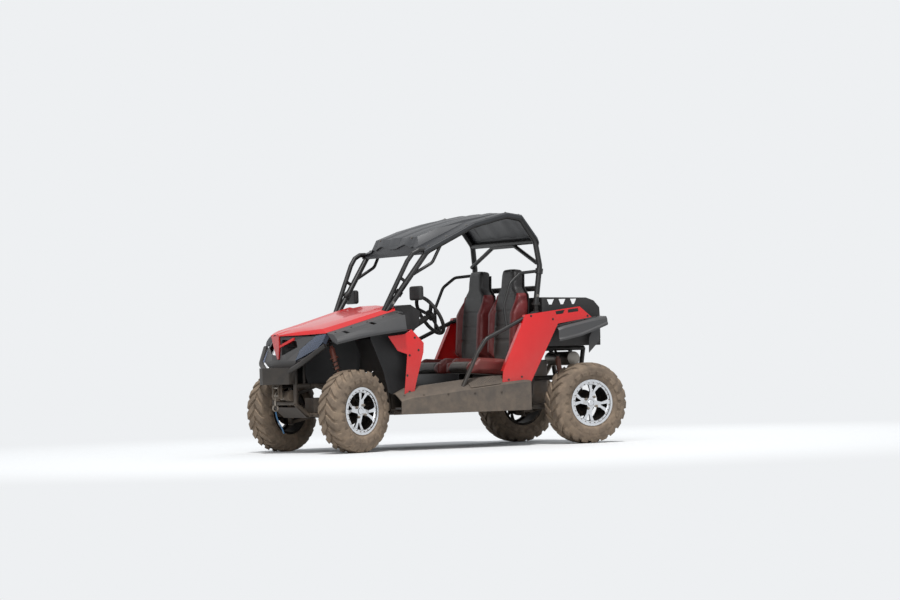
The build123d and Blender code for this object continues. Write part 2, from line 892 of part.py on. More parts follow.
# Seats
seat_y = 300.0
seat_width = 460.0
cushion_outline = ((-178, 590), (-178, 690), (-600, 655), (-640, 550))
back_outline = ((-600, 660), (-662, 1443), (-752, 1438), (-702, 652))
back_bolster = ((-620, 690), (-556, 760), (-580, 1080), (-662, 1230))
cushion_bolster = ((-200, 680), (-260, 722), (-540, 700), (-592, 645))
bolster_width = 70.0
# The left half of the backrest's front outline: y from its middle, z
back_front = ((230, 500), (230, 1130), (208, 1225), (128, 1290), (118, 1400), (88, 1460))
shell_line = ((-170, 603), (-650, 562), (-692, 640), (-746, 1400))
shell_thickness = 6.0
seat_leg = ((-230, 594), (-610, 561), (-570, floor_top + seat_gap), (-290, floor_top + seat_gap))
seat_leg_y = 150.0
seat_leg_width = 24.0


def above_shell():
    """What lies above the middle of the seat shell's sheet."""
    line = [(x, z - shell_thickness / 2) for x, z in shell_line[:2]]
    return side_profile([*line, (line[1][0], 900), (line[0][0], 900)], 0, 600)


def behind_shell():
    """What lies below and behind the upholstered side of the seat shell."""
    (low_x, low_z), (high_x, high_z) = shell_line[-2:]
    top = (high_x + (high_x - low_x) * 60 / (high_z - low_z), high_z + 60)
    line = [*shell_line[:-1], top]
    inner = ribbon(line, seat_gap)[len(line):]
    return side_profile([*reversed(inner), (-900, top[1]), (-900, 300), (shell_line[0][0], 300)], 0, 600)


def make_seats():
    low, high = seat_y - seat_width / 2, seat_y + seat_width / 2
    cushion = side_profile(cushion_outline, low, high)
    back = side_profile(back_outline, low, high)
    for edge in (low, high - bolster_width):
        cushion = cushion + side_profile(cushion_bolster, edge, edge + bolster_width)
        back = back + side_profile(back_bolster, edge, edge + bolster_width)
    outline = [(seat_y + y, z) for y, z in back_front]
    outline += [(seat_y - y, z) for y, z in reversed(back_front)]
    front = front_profile(outline, shell_line[-1][0] - 60, shell_line[0][0])
    back = back & front
    shell = side_profile(ribbon(list(shell_line), -shell_thickness), low + 10, high - 10) & front
    cushion = cushion - behind_shell()
    back = back - behind_shell()
    for side in (1, -1):
        middle = seat_y + side * seat_leg_y
        leg = side_profile(seat_leg, middle - seat_leg_width / 2, middle + seat_leg_width / 2)
        shell = shell + (leg - above_shell())
    write("seat_cushions", both_sides(cushion))
    write("seat_backs", both_sides(back))
    write("seat_shells", both_sides(shell))


dash_outline = ((462, 1150), (300, 1168), (215, 1112), (232, 1000), (330, 905), (462, 880))


pinion_top = (740, 150, rack_z + 80)


def column_axis():
    tilt = radians(steering_wheel_tilt)
    return Vector(cos(tilt), 0, -sin(tilt))


def lower_shaft_path():
    start = steering_wheel_centre + column_axis() * 320
    return [tuple(start), pinion_top]


def column_tube(radius, start, length):
    origin = steering_wheel_centre + column_axis() * start
    return extrude(Plane(origin=origin, z_dir=column_axis()) * Circle(radius), amount=length)


def make_dashboard():
    dash = side_profile(dash_outline, -440, 440)
    front = pillar_a_foot.X - cross_tube / 2 - seat_gap
    for side in (1, -1):
        bracket_y = (side * 250 - 20, side * 250 + 20)
        dash = dash + block((460, front), bracket_y, (dash_bar_z - 20, dash_bar_z + 25))
    return dash - column_tube(24 + seat_gap, 0, 360) - tube(lower_shaft_path(), 40)


def make_column():
    upper = column_tube(24, 40, 285)
    lower = tube(lower_shaft_path(), 20)
    housing = bar_y(rack_x(), rack_z, -200, 200, rack_radius + 12)
    foot_z = (rail_z + frame_tube / 2 + seat_gap, rack_z)
    for side in (1, -1):
        foot_y = (side * 150 - 20, side * 150 + 20)
        housing = housing + block((rack_x() - 16, rack_x() + 16), foot_y, foot_z)
    bore = bar_y(rack_x(), rack_z, -260, 260, rack_radius + 0.5)
    pinion = tube([pinion_top, (rack_x() - 2, 140, rack_z + 20)], 36)
    return (upper + lower + housing + pinion) - bore


def rack_x():
    return front_axle_x - steering_arm * cos(radians(rest_steer))


def rack_shift():
    return -steering_arm * sin(radians(rest_steer))


def make_rack():
    shift = rack_shift()
    x = rack_x()
    rod = bar_y(x, rack_z, -290 + shift, 290 + shift, rack_radius)
    for side in (1, -1):
        end_y = side * kingpin_y + shift
        low_y, high_y = sorted((side * 280 + shift, end_y))
        rod = rod + bar_y(x, rack_z, low_y, high_y, tie_rod_radius)
        rod = rod + bar_z(x, end_y, rack_z - 12.7, rack_z + 15, 16)
    return rod


def make_steering_wheel():
    axis = column_axis()
    plane = Plane(origin=steering_wheel_centre, x_dir=(0, 1, 0), z_dir=axis)
    rim = Torus(steering_wheel_radius, 15)
    wheel = rim + Cylinder(45, 30)
    for angle in (0, 120, 240):
        spoke = Pos(steering_wheel_radius / 2, 0, 0) * Box(steering_wheel_radius, 34, 10)
        wheel = wheel + Rot(0, 0, 90 + angle) * spoke
    hub = Pos(0, 0, 23) * Cylinder(20, 33)
    wheel = wheel + hub
    return plane * (Rot(0, 0, -rest_steer * steering_ratio) * wheel)


# Wheels are drawn about the Y axis with the outside towards +Y
def revolve_y(points):
    """A turned solid about the Y axis from its (radius, y) outline."""
    wire = Wire.make_polygon([(radius, y, 0) for radius, y in points], close=True)
    return Solid.revolve(Face(wire), 360, Axis.Y)


def faceted_ring(outline, count):
    """A ring of flat faces about the Y axis from its (radius, y) outline."""
    turns = [radians(360 * index / count) for index in range(count)]
    rings = [[(radius * cos(turn), y, radius * sin(turn)) for radius, y in outline] for turn in turns]
    faces = []
    for near, far in zip(rings, rings[1:] + rings[:1]):
        for index, corner in enumerate(near):
            after = (index + 1) % len(near)
            faces += flat_faces((corner, near[after], far[after], far[index]))
    return Solid(Shell(faces))


def make_lug(half, side, turn, lean):
    """One slanted lug from the middle of the tread over the shoulder."""
    pitch = 360 / lug_pitches
    width = lug_share * radians(pitch) * tyre_radius
    crown = (tyre_radius**2 - width**2 / 4) ** 0.5
    sections = []
    # Share of the lean, y, top radius, base radius
    for share, y, top, base in (
        (0.0, 5, crown, crown - lug_depth - 10),
        (0.6, half - 42, crown - 3, crown - lug_depth - 18),
        (1.0, half, crown - 50, crown - lug_depth - 58),
    ):
        angle = radians(turn + share * lean * lug_lean * pitch)
        out, along = Vector(cos(angle), 0, sin(angle)), Vector(-sin(angle), 0, cos(angle))
        ring = []
        for radius, offset_share in ((top, -0.5), (top, 0.5), (base, 0.5), (base, -0.5)):
            point = out * radius + along * (offset_share * width)
            ring.append((point.X, side * y, point.Z))
        sections.append(ring)
    return ruled(sections)


def make_tyre(width, lean):
    """A tyre with two staggered rows of slanted lugs, which lean one way or the other."""
    half = width / 2
    flat = cos(radians(180 / lug_pitches))
    bead = (rim_radius + seat_gap) / flat
    flange = (rim_radius + rim_flange + seat_gap) / flat
    seat = half - 32
    crown = tyre_radius - lug_depth
    outer = [
        (bead, seat),
        (flange, seat),
        (crown * 0.84, half - 6),
        (crown, half - 48),
    ]
    inner = [
        (crown - tyre_wall - 6, half - 50),
        (bead, seat - 16),
    ]
    outline = [*outer, *((r, -y) for r, y in reversed(outer))]
    hollow = [*((r, -y) for r, y in reversed(inner)), *inner]
    pitch = 360 / lug_pitches
    # The first corner of a lug points straight down, so the tyre touches the ground
    start = lug_share * pitch / 2
    lugs = []
    for index in range(lug_pitches):
        lugs.append(make_lug(half, 1, start + index * pitch, lean))
        lugs.append(make_lug(half, -1, start + (index + 0.5) * pitch, lean))
    return faceted_ring([*outline, *hollow], lug_pitches).fuse(*lugs)


def make_rim(width):
    """Rim barrel, dished face with split spokes, hub, cap and brake disc."""
    seat = width / 2 - 32 + seat_gap
    face = seat + 2
    barrel = [
        (rim_radius, seat),
        (rim_radius + rim_flange, seat),
        (rim_radius + rim_flange, seat + 8),
        (rim_radius - rim_wall, seat + 8),
        (rim_radius - rim_wall, -seat - 8),
        (rim_radius + rim_flange, -seat - 8),
        (rim_radius + rim_flange, -seat),
        (rim_radius, -seat),
    ]
    rim = revolve_y(barrel)
    inner_y = -45
    dish = [
        (rim_radius - 2, face),
        (window_radius, face),
        (window_radius - 6, face - 6),
        (100, face - 16),
        (58, face - 12),
        (0, face - 12),
        (0, face - 34),
        (58, face - 34),
        (window_radius, face - 26),
        (rim_radius - 2, face - 22),
    ]
    plate = revolve_y(dish)
    for window in rim_windows():
        plate = plate - extrude(Plane.XZ.offset(-face - 10) * window, amount=60)
    rim = rim + plate
    cap = [(0, face - 4), (20, face - 4), (26, face - 8), (28, face - 14), (0, face - 14)]
    rim = rim + revolve_y(cap)
    hub = revolve_y(
        [
            (spindle_radius + 0.5, inner_y),
            (hub_radius, inner_y),
            (hub_radius, face - 14),
            (0, face - 14),
            (0, 0),
            (spindle_radius + 0.5, 0),
        ]
    )
    rim = rim + hub
    disc_ring = revolve_y(
        [
            (hub_radius - 2, inner_y),
            (brake_disc_radius, inner_y),
            (brake_disc_radius, inner_y + brake_disc_thickness),
            (hub_radius - 2, inner_y + brake_disc_thickness),
        ]
    )
    return rim + disc_ring


def polar_face(points):
    """A face from points given as (radius, angle)."""
    corners = [(radius * cos(radians(angle)), radius * sin(radians(angle))) for radius, angle in points]
    return make_face(Polyline(*corners, close=True))


def rim_windows():
    """A wide rounded window between two spokes and a narrow one inside each split spoke, four times."""
    wide = polar_face(((36, 45), (98, 76), (260, 66), (260, 24), (98, 14))) & Circle(window_radius)
    wide = fillet(wide.vertices(), 16)
    narrow = polar_face(((86, 0), (260, 13), (260, -13))) & Circle(window_radius - 6)
    narrow = fillet(narrow.vertices(), 4)
    windows = []
    for quarter in range(4):
        for window in (wide, narrow):
            windows.append(Rot(0, 0, rim_turn + 90 * quarter) * window)
    return windows


def wheel_at(shape, x, y, side, steered):
    """A wheel piece put on its hub, its outside away from the vehicle."""
    placed = shape if side > 0 else mirrored(shape)
    placed = Pos(x, side * y, axle_z) * placed
    return turned(placed, side) if steered else placed


def make_knuckle():
    """The left upright with straight wheels: ball joint seats, spindle, steering arm and caliper."""
    x, y = front_axle_x, kingpin_y
    low = axle_z - ball_drop + ball_height / 2 + seat_gap
    high = axle_z + ball_rise - ball_height / 2 - seat_gap
    upright = block((x - 20, x + 20), (y - 16, y + 16), (low + 12, high - 12))
    upright = upright + bar_z(x, y, low, high, 12)
    upright = upright + bar_y(x, axle_z, y - 26, y + 34, 36)
    upright = upright + bar_y(x, axle_z, y + 30, front_tyre_y - 6, spindle_radius)
    eye_top = rack_z - 13
    arm = block((x - steering_arm, x), (y - 12, y + 12), (eye_top - 14, eye_top))
    arm = arm + bar_z(x - steering_arm, y, eye_top - 14, eye_top, 18)
    disc_y = front_tyre_y - 45 + brake_disc_thickness / 2
    caliper = block((x + 66, x + 126), (disc_y - 30, disc_y + 30), (axle_z - 42, axle_z + 42))
    slot = bar_y(x, axle_z, disc_y - 9, disc_y + 9, brake_disc_radius + running_gap)
    caliper = caliper - slot
    link = block((x + 10, x + 100), (disc_y - 30, disc_y - 12), (axle_z - 16, axle_z + 16))
    return upright + arm + caliper + link


def make_rear_carrier():
    """The left rear hub carrier between its two arms."""
    x, y = rear_axle_x, rear_carrier_y()
    low = axle_z - ball_drop + ball_height / 2 + seat_gap
    high = axle_z + ball_rise - ball_height / 2 - seat_gap
    upright = block((x - 24, x + 24), (y - 16, y + 16), (low + 12, high - 12))
    upright = upright + bar_z(x, y, low, high, 12)
    upright = upright + bar_y(x, axle_z, y - 20, y + 34, 36)
    return upright + bar_y(x, axle_z, y + 30, rear_tyre_y - 6, spindle_radius)


def rear_carrier_y():
    return rear_tyre_y - kingpin_inset - 25


def suspension_arm(x, outer_y, outer_z, inner_z, spread):
    """One A-arm: ball joint housing, two tubes and two bush sleeves."""
    arm = bar_z(x, outer_y, outer_z - ball_height / 2, outer_z + ball_height / 2, ball_radius)
    for side in (1, -1):
        inner = (x + side * spread, arm_inner_y, inner_z)
        arm = arm + tube([(x, outer_y, outer_z), inner], arm_tube)
        start = Plane(origin=(inner[0] - 30, arm_inner_y, inner_z), z_dir=(1, 0, 0))
        arm = arm + extrude(start * Circle(arm_sleeve_radius), amount=60)
    return arm


def arm_bridge(x, outer_y, outer_z, inner_z, spread, foot, top):
    """The cross tube and pad of an arm under a damper's foot."""
    share = (outer_y - foot[1]) / (outer_y - arm_inner_y)
    z = outer_z + (inner_z - outer_z) * share
    half = spread * share
    bridge = tube([(x - half, foot[1], z), (x + half, foot[1], z)], arm_tube - 4)
    foot, top = Vector(*foot), Vector(*top)
    direction = (foot - top).normalized()
    pad = extrude(Plane(origin=foot + direction * seat_gap, z_dir=direction) * Circle(15), amount=24)
    room = extrude(Plane(origin=foot + direction * seat_gap, z_dir=direction) * Circle(40), amount=-60)
    return bridge + pad - room


def make_arms(x, outer_y, spreads, strut, strut_on_upper):
    """Upper and lower arms of one axle's left side."""
    low_z, high_z = axle_z - ball_drop, axle_z + ball_rise
    lower_data = (x, outer_y, low_z, rail_z, spreads[0])
    upper_data = (x, outer_y, high_z, upper_rail_z, spreads[1])
    lower, upper = suspension_arm(*lower_data), suspension_arm(*upper_data)
    top, foot = strut
    if strut_on_upper:
        upper = upper + arm_bridge(*upper_data, foot, top)
    else:
        lower = lower + arm_bridge(*lower_data, foot, top)
    return lower, upper


spring_coils = 5.5
spring_wire = 9.0
spring_steps = 12
spring_sides = 6


def coil_spring(radius, low, high):
    """A coil spring about the Z axis, drawn with flat facets."""
    sections = []
    steps = round(spring_coils * spring_steps)
    for step in range(steps + 1):
        turn = radians(360 * step / spring_steps)
        middle = low + (high - low) * step / steps
        ring = []
        for side in range(spring_sides):
            lean = radians(360 * side / spring_sides)
            out = radius + spring_wire / 2 * cos(lean)
            ring.append((out * cos(turn), out * sin(turn), middle + spring_wire / 2 * sin(lean)))
        sections.append(ring)
    return ruled(sections)


def make_damper(top, foot, spring_radius):
    """Body, rod and eyes, with a coil spring between its two seats."""
    top, foot = Vector(*top), Vector(*foot)
    length = (top - foot).length
    low, high = length * 0.16, length * 0.72
    seat, seat_wall = spring_radius + 3, 8
    # Outline: radius, height from the foot
    outline = [
        (0, 0),
        (14, 0),
        (14, low - seat_wall),
        (seat, low - seat_wall),
        (seat, low),
        (10, low),
        (10, length * 0.45),
        (19, length * 0.45),
        (19, high),
        (seat, high),
        (seat, high + seat_wall),
        (22, high + seat_wall),
        (22, length * 0.95),
        (14, length * 0.95),
        (14, length),
        (0, length),
    ]
    wire = Wire.make_polygon([(radius, 0, height) for radius, height in outline], close=True)
    body = Solid.revolve(Face(wire), 360, Axis.Z)
    spring = coil_spring(spring_radius - spring_wire / 2, low, high)
    return Plane(origin=foot, z_dir=(top - foot)) * (body + spring)


clamp_z = (1394.0, 1436.0)


def side_hoop():
    """The hip bar and the shoulder hoop of the left side."""
    hoop = [
        (-810, 590, 1418),
        (-617, 600, 1401),
        (-513, 620, 1321),
        (-440, 640, 1140),
        (-452, 662, 950),
    ]
    shape = tube(hip_path, hip_tube, bend=hip_bends) + tube(hoop, rack_tube, bend=[60, 90, 90])
    clamp = [tuple(on_line(pillar_b_bend, pillar_b_base, z)) for z in clamp_z]
    shape = shape + tube(clamp, cage_tube + 18)
    shape = shape - sill_block()
    shape = shape - tube(post_b_path(), frame_tube + 2 * seat_gap, bend=60)
    shape = shape - tube(cage_hoop_path(40)[3:], cage_tube + 2 * seat_gap, bend=hoop_bends[3:])
    return shape


def bull_side_tube(diameter):
    return tube([(1290, 225, bumper_z[1] - 35), (1256, 412, 722), (1131, 600, 854)], diameter, bend=150)


bumper_outline = ((nose_x, 30), (1365, 150), (1303, 250))


def bumper_plan(inset, back_x):
    half = [(x - inset, y - inset) for x, y in bumper_outline]
    half.append((back_x, bumper_outline[-1][1] - inset))
    return half + [(x, -y) for x, y in reversed(half)]


def make_bull_bar():
    back = nose_x_frame + frame_tube / 2 + seat_gap
    bumper = plan_profile(bumper_plan(0, back), *bumper_z)
    core = plan_profile(bumper_plan(6, back + 6), bumper_z[0] + 6, bumper_z[1] - 6)
    room = plan_profile(bumper_plan(3, back + 3), bumper_z[0] + 3, bumper_z[1] - 3)
    side = bull_side_tube(42) - room
    return bumper - core + side + mirrored(side)


def make_engine():
    low = rail_z + frame_tube / 2 + seat_gap
    return block(engine_x, (-190, 190), (low, 690))


def make_muffler():
    can = bar_y(muffler_x, muffler_z, -60, 350, muffler_radius)
    route = [(muffler_x, -20, muffler_z - 10), (muffler_x + 40, -100, 560), (engine_x[0] - 40, -100, 560)]
    pipe = tube(route, 40, bend=45)
    return can + tube([(engine_x[0] - seat_gap, -100, 560), (engine_x[0] - 60, -100, 560)], 40) + pipe


def make_final_drives():
    low = rail_z + frame_tube / 2 + seat_gap
    front = block((front_axle_x - 70, front_axle_x + 70), (-85, 85), (low, axle_z + 110))
    rear = block((rear_axle_x - 80, rear_axle_x + 75), (-95, 95), (low, axle_z + 140))
    return Compound(children=[front, rear])


def half_shaft(x, drive_y, outer_y):
    """A drive shaft with a boot at each end, cut off square at the drive and at the carrier."""
    inner, outer = Vector(x, drive_y, axle_z + 25), Vector(x, outer_y, axle_z)
    along = (outer - inner).normalized()
    start, end = inner - along * 10, outer + along * 10
    length = (end - start).length
    outline = [(0, 0), (28, 0), (28, 32), (16, 90), (12, 90), (12, length - 80), (16, length - 80)]
    outline += [(30, length - 22), (30, length), (0, length)]
    wire = Wire.make_polygon([(radius, 0, height) for radius, height in outline], close=True)
    shaft = Plane(origin=start, z_dir=along) * Solid.revolve(Face(wire), 360, Axis.Z)
    x_range, z_range = (x - 60, x + 60), (axle_z - 60, axle_z + 80)
    shaft = shaft - block(x_range, (drive_y - 60, drive_y + seat_gap), z_range)
    return shaft - block(x_range, (outer_y - seat_gap, outer_y + 60), z_range)


def make_half_shafts():
    front = half_shaft(front_axle_x, 85, kingpin_y - 26 - 34)
    rear = half_shaft(rear_axle_x, 95, rear_carrier_y() - 20)
    return Compound(children=[*both_sides(front).solids(), *both_sides(rear).solids()])


mirror_size = (45.0, 200.0, 115.0)
mirror_centre = (331.0, 622.0, 1255.0)


def make_mirrors():
    clamp_z = 1262
    centre = on_line(pillar_a_top, pillar_a_base, clamp_z)
    low = on_line(pillar_a_top, pillar_a_base, clamp_z - 18)
    high = on_line(pillar_a_top, pillar_a_base, clamp_z + 18)
    clamp = tube([tuple(low), tuple(high)], cage_tube + 16)
    arm = tube([tuple(centre), (mirror_centre[0] + 10, 560, mirror_centre[2])], 18)
    length, width, height = mirror_size
    head = Box(length, width, height)
    head = chamfer(head.faces().sort_by(Axis.X)[-1].edges(), 16)
    head = Pos(*mirror_centre) * head
    pillar = tube(pillar_a_path(0), cage_tube + 2 * seat_gap)
    return both_sides(head + clamp + arm - pillar)


winch_radius = 45.0
drum_core = 30.0
winch_z = rail_z + rail_rise[2] + frame_tube / 2 + seat_gap + winch_radius
rope_diameter = 7.0
rope_z = winch_z + drum_core + rope_diameter / 2 + seat_gap
fairlead_x = 1300.0
fairlead_z = (rail_z + 134, bumper_z[0] - seat_gap)
fairlead_window = 20.0
roller_radius = 9.0
rope_front_x = fairlead_x + 16
hook_z = 366.0
hook_radius = 22.0
hook_wire = 14.0
clevis_z = (hook_z + 20, hook_z + 60)


def make_winch():
    drum = bar_y(nose_x_frame, winch_z, -170, 170, winch_radius)
    groove = bar_y(nose_x_frame, winch_z, -60, 60, 100) - bar_y(nose_x_frame, winch_z, -60, 60, drum_core)
    plate = block((fairlead_x - 6, fairlead_x), (-95, 95), fairlead_z)
    window = (rope_z - fairlead_window, rope_z + fairlead_window)
    fairlead = plate - block((fairlead_x - 20, fairlead_x + 20), (-40, 40), window)
    for side in (1, -1):
        roller_z = rope_z + side * (fairlead_window + roller_radius + 3)
        post = bar_z(fairlead_x + 4, side * 48, fairlead_z[0] + 14, fairlead_z[1] - 14, 11)
        fairlead = fairlead + post
        fairlead = fairlead + bar_y(fairlead_x + 2, roller_z, -58, 58, roller_radius)
    return Compound(children=[*(drum - groove).solids(), *fairlead.solids()])


def make_hook():
    rope_room = bar_z(rope_front_x, 0, clevis_z[1] - 12, 500, rope_diameter / 2 + seat_gap)
    clevis = bar_z(rope_front_x, 0, *clevis_z, 10) - rope_room
    return clevis + Pos(rope_front_x, 0, hook_z) * (Rot(90, 0, 0) * Torus(hook_radius, hook_wire / 2))


# Cords: each bend is as wide as its shorter run allows
rope_points = [
    (nose_x_frame, 0, rope_z),
    (rope_front_x, 0, rope_z),
    (rope_front_x, 0, clevis_z[1] - 12 + seat_gap),
]
strap_top = hook_z - hook_radius - hook_wire / 2 - seat_gap
strap_points = [
    (rope_front_x, 0, strap_top),
    (rope_front_x - 6, 0, strap_top - 40),
    (rope_front_x - 22, 0, strap_top - 84),
    (rope_front_x - 50, 0, strap_top - 128),
    (rope_front_x - 66, 0, strap_top - 176),
]
strap_size = (25.0, 3.0)


def cord_path(points):
    """The centre line of a cord through its points."""
    radii = []
    for before, corner, after in zip(points, points[1:], points[2:]):
        first, second = Vector(*corner) - Vector(*before), Vector(*after) - Vector(*corner)
        turn = radians(first.get_angle(second))
        radii.append(0.45 * min(first.length, second.length) / tan(turn / 2))
    print("cord bends", [round(radius, 1) for radius in radii])
    return FilletPolyline(*[Vector(*point) for point in points], radius=radii)


def make_rope():
    path = cord_path(rope_points)
    return sweep(Plane(origin=path @ 0, z_dir=path % 0) * Circle(rope_diameter / 2), path=path)


def make_strap():
    path = cord_path(strap_points)
    start = Plane(origin=path @ 0, x_dir=(0, 1, 0), z_dir=path % 0)
    return sweep(start * Rectangle(*strap_size), path=path)


# Build
make_seats()
write("cage", make_cage())
write("chassis_frame", make_chassis())
write("floor_pan", make_floor())
write("skid_plate", make_skid())
write("hood", make_hood())
write("front_fenders", make_fenders())
write("front_fascia", make_fascia())
write("lamps", make_lamps())
write("front_side_panels", make_front_side_panels())
write("rear_side_panels", make_rear_side_panels())
write("sills", make_sills())
write("rear_fenders", make_rear_fenders())
write("cargo_bed", make_bed())
write("roof_panel", make_roof())
write("dashboard", make_dashboard())
write("steering_column", make_column())
write("steering_rack", make_rack())
write("steering_wheel", make_steering_wheel())
write("side_hoops", both_sides(side_hoop()))
write("bull_bar", make_bull_bar())
write("engine", make_engine())
write("muffler", make_muffler())
write("final_drives", make_final_drives())
write("half_shafts", make_half_shafts())
write("side_mirrors", make_mirrors())
write("winch", make_winch())
write("winch_hook", make_hook())
write("winch_rope", make_rope())
write("winch_strap", make_strap())

front_strut, rear_strut = (strut_top, strut_foot), (rear_strut_top, rear_strut_foot)
front_lower, front_upper = make_arms(front_axle_x, kingpin_y, (150, 130), front_strut, True)
arms = [both_sides(front_lower), both_sides(front_upper)]
write("front_arms", Compound(children=[solid for arm in arms for solid in arm.solids()]))
rear_lower, rear_upper = make_arms(rear_axle_x, rear_carrier_y(), (120, 55), rear_strut, False)
arms = [both_sides(rear_lower), both_sides(rear_upper)]
write("rear_arms", Compound(children=[solid for arm in arms for solid in arm.solids()]))
write("rear_hub_carriers", both_sides(make_rear_carrier()))
dampers = [both_sides(make_damper(*strut, 32)) for strut in (front_strut, rear_strut)]
write("dampers", Compound(children=[solid for pair in dampers for solid in pair.solids()]))

knuckle = make_knuckle()
# Wheels: position, x, tyre centre y, tyre width, lean of the lugs, steered
for place, x, y, width, lean, steered in (
    ("front", front_axle_x, front_tyre_y, front_tyre_width, -1, True),
    ("rear", rear_axle_x, rear_tyre_y, rear_tyre_width, 1, False),
):
    tyre, rim = make_tyre(width, lean), make_rim(width)
    for side, name in ((1, "left"), (-1, "right")):
        write(f"tyre_{place}_{name}", wheel_at(tyre, x, y, side, steered))
        write(f"rim_{place}_{name}", wheel_at(rim, x, y, side, steered))
for side, name in ((1, "left"), (-1, "right")):
    placed = knuckle if side > 0 else mirrored(knuckle)
    write(f"front_knuckle_{name}", turned(placed, side))
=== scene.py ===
"""Finishes, soft parts and small fittings of a two-seat dune buggy, on its CAD frame."""

import json
from math import ceil, copysign, cos, hypot, pi, radians, sin

import bpy
from mathutils import Matrix, Vector


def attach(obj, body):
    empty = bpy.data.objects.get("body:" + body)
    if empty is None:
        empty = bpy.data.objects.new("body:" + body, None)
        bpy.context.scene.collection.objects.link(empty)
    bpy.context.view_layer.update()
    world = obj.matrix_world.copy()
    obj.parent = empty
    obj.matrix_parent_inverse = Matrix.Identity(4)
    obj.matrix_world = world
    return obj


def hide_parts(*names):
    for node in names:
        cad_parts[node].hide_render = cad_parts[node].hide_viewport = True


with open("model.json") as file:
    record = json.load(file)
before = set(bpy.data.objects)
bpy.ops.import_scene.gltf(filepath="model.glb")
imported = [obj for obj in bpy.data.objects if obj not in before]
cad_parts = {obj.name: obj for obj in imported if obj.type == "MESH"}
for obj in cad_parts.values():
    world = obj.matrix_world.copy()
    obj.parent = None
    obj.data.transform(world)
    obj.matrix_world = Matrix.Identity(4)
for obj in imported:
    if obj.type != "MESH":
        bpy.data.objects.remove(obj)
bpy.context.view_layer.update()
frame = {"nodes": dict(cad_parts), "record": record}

record, nodes = frame["record"], frame["nodes"]
slot_of_node = {part["node"]: part["material_slot"] for part in record["subparts"]}
bodies_of_record = record["behaviour"]["bodies"].items()
body_of_node = {node: body for body, members in bodies_of_record for node in members}
mm = 0.001
# The frame's origin lies 35 mm behind the origin of the CAD source
frame_shift = 35
flip_y = Matrix.Scale(-1, 4, (0, 1, 0))
both_sides = (1, -1)


def at(x, y, z):
    """A place given in the CAD source's millimetres, in the frame's metres."""
    return Vector((x + frame_shift, y, z)) * mm


def at_side(side, x, y, z):
    """The same on one side of the vehicle, where y is the distance from its middle."""
    return at(x, side * y, z)


def new_object(name, data):
    """A new object in the scene."""
    made = bpy.data.objects.new(name, data)
    bpy.context.scene.collection.objects.link(made)
    return made


# Shader nodes

def linear(code):
    """The linear colour of an sRGB hex value such as #c8141c."""
    parts = [int(code[i : i + 2], 16) / 255 for i in (1, 3, 5)]
    return [c / 12.92 if c <= 0.04045 else ((c + 0.055) / 1.055) ** 2.4 for c in parts] + [1]


def add(tree, kind, links=(), **settings):
    """Adds a node: settings are its properties, links are (socket, value or node output) pairs."""
    made = tree.nodes.new(kind)
    for name, value in settings.items():
        setattr(made, name, value)
    for socket, value in links:
        if isinstance(value, bpy.types.NodeSocket):
            tree.links.new(value, made.inputs[socket])
        else:
            made.inputs[socket].default_value = value
    return made


def maths(tree, operation, *values, clamp=False):
    """One calculation on numbers."""
    settings = {"operation": operation, "use_clamp": clamp}
    return add(tree, "ShaderNodeMath", enumerate(values), **settings).outputs[0]


def vector_maths(tree, operation, *values, result="Vector"):
    """One calculation on vectors, with a vector or a number (Value) as its result."""
    made = add(tree, "ShaderNodeVectorMath", enumerate(values), operation=operation)
    return made.outputs[result]


def parts_of(tree, vector):
    """The X, Y and Z of a vector."""
    return add(tree, "ShaderNodeSeparateXYZ", [(0, vector)]).outputs


def ramp(tree, factor, low, high):
    """Runs smoothly from 0 where factor is low to 1 where it is high."""
    links = [(0, factor), (1, low), (2, high), (3, 0.0), (4, 1.0)]
    return add(tree, "ShaderNodeMapRange", links, interpolation_type="SMOOTHSTEP").outputs[0]


def blend_values(tree, share, first, second):
    """Mixes two numbers."""
    return add(tree, "ShaderNodeMix", [(0, share), (2, first), (3, second)]).outputs[0]


def blend_colours(tree, share, first, second):
    """Mixes two colours."""
    links = [(0, share), (6, first), (7, second)]
    return add(tree, "ShaderNodeMix", links, data_type="RGBA").outputs[2]


def noise(tree, place, size, detail=3.0, rough=0.6):
    """Fractal noise whose blotches are about size metres across."""
    links = [(0, place), (2, 1 / size), (3, detail), (4, rough)]
    return add(tree, "ShaderNodeTexNoise", links).outputs[0]


def new_material(name, metallic=0.0, ior=1.5, coat=0.0):
    """A material with its shader, and the place of each point on the piece."""
    material = bpy.data.materials.new(name)
    material.use_nodes = True
    tree = material.node_tree
    shader = tree.nodes["Principled BSDF"]
    for fact, value in (("Metallic", metallic), ("IOR", ior), ("Coat Weight", coat)):
        shader.inputs[fact].default_value = value
    return material, tree, shader, add(tree, "ShaderNodeTexCoord").outputs["Object"]


def put(tree, shader, colour, roughness, height=None, depth=0.0):
    """Joins colour, roughness and relief to the shader; depth is the relief's height in metres."""
    tree.links.new(colour, shader.inputs["Base Color"])
    tree.links.new(roughness, shader.inputs["Roughness"])
    if height is not None:
        links = [("Height", height), ("Distance", depth), ("Strength", 1.0)]
        bump = add(tree, "ShaderNodeBump", links)
        tree.links.new(bump.outputs[0], shader.inputs["Normal"])


# Dry road dust, and the darker dust that has been wet
dust_pale, dust_dark = linear("#a8937b"), linear("#7a6858")
dust_blotch = 0.09
dust_roughness = 0.9


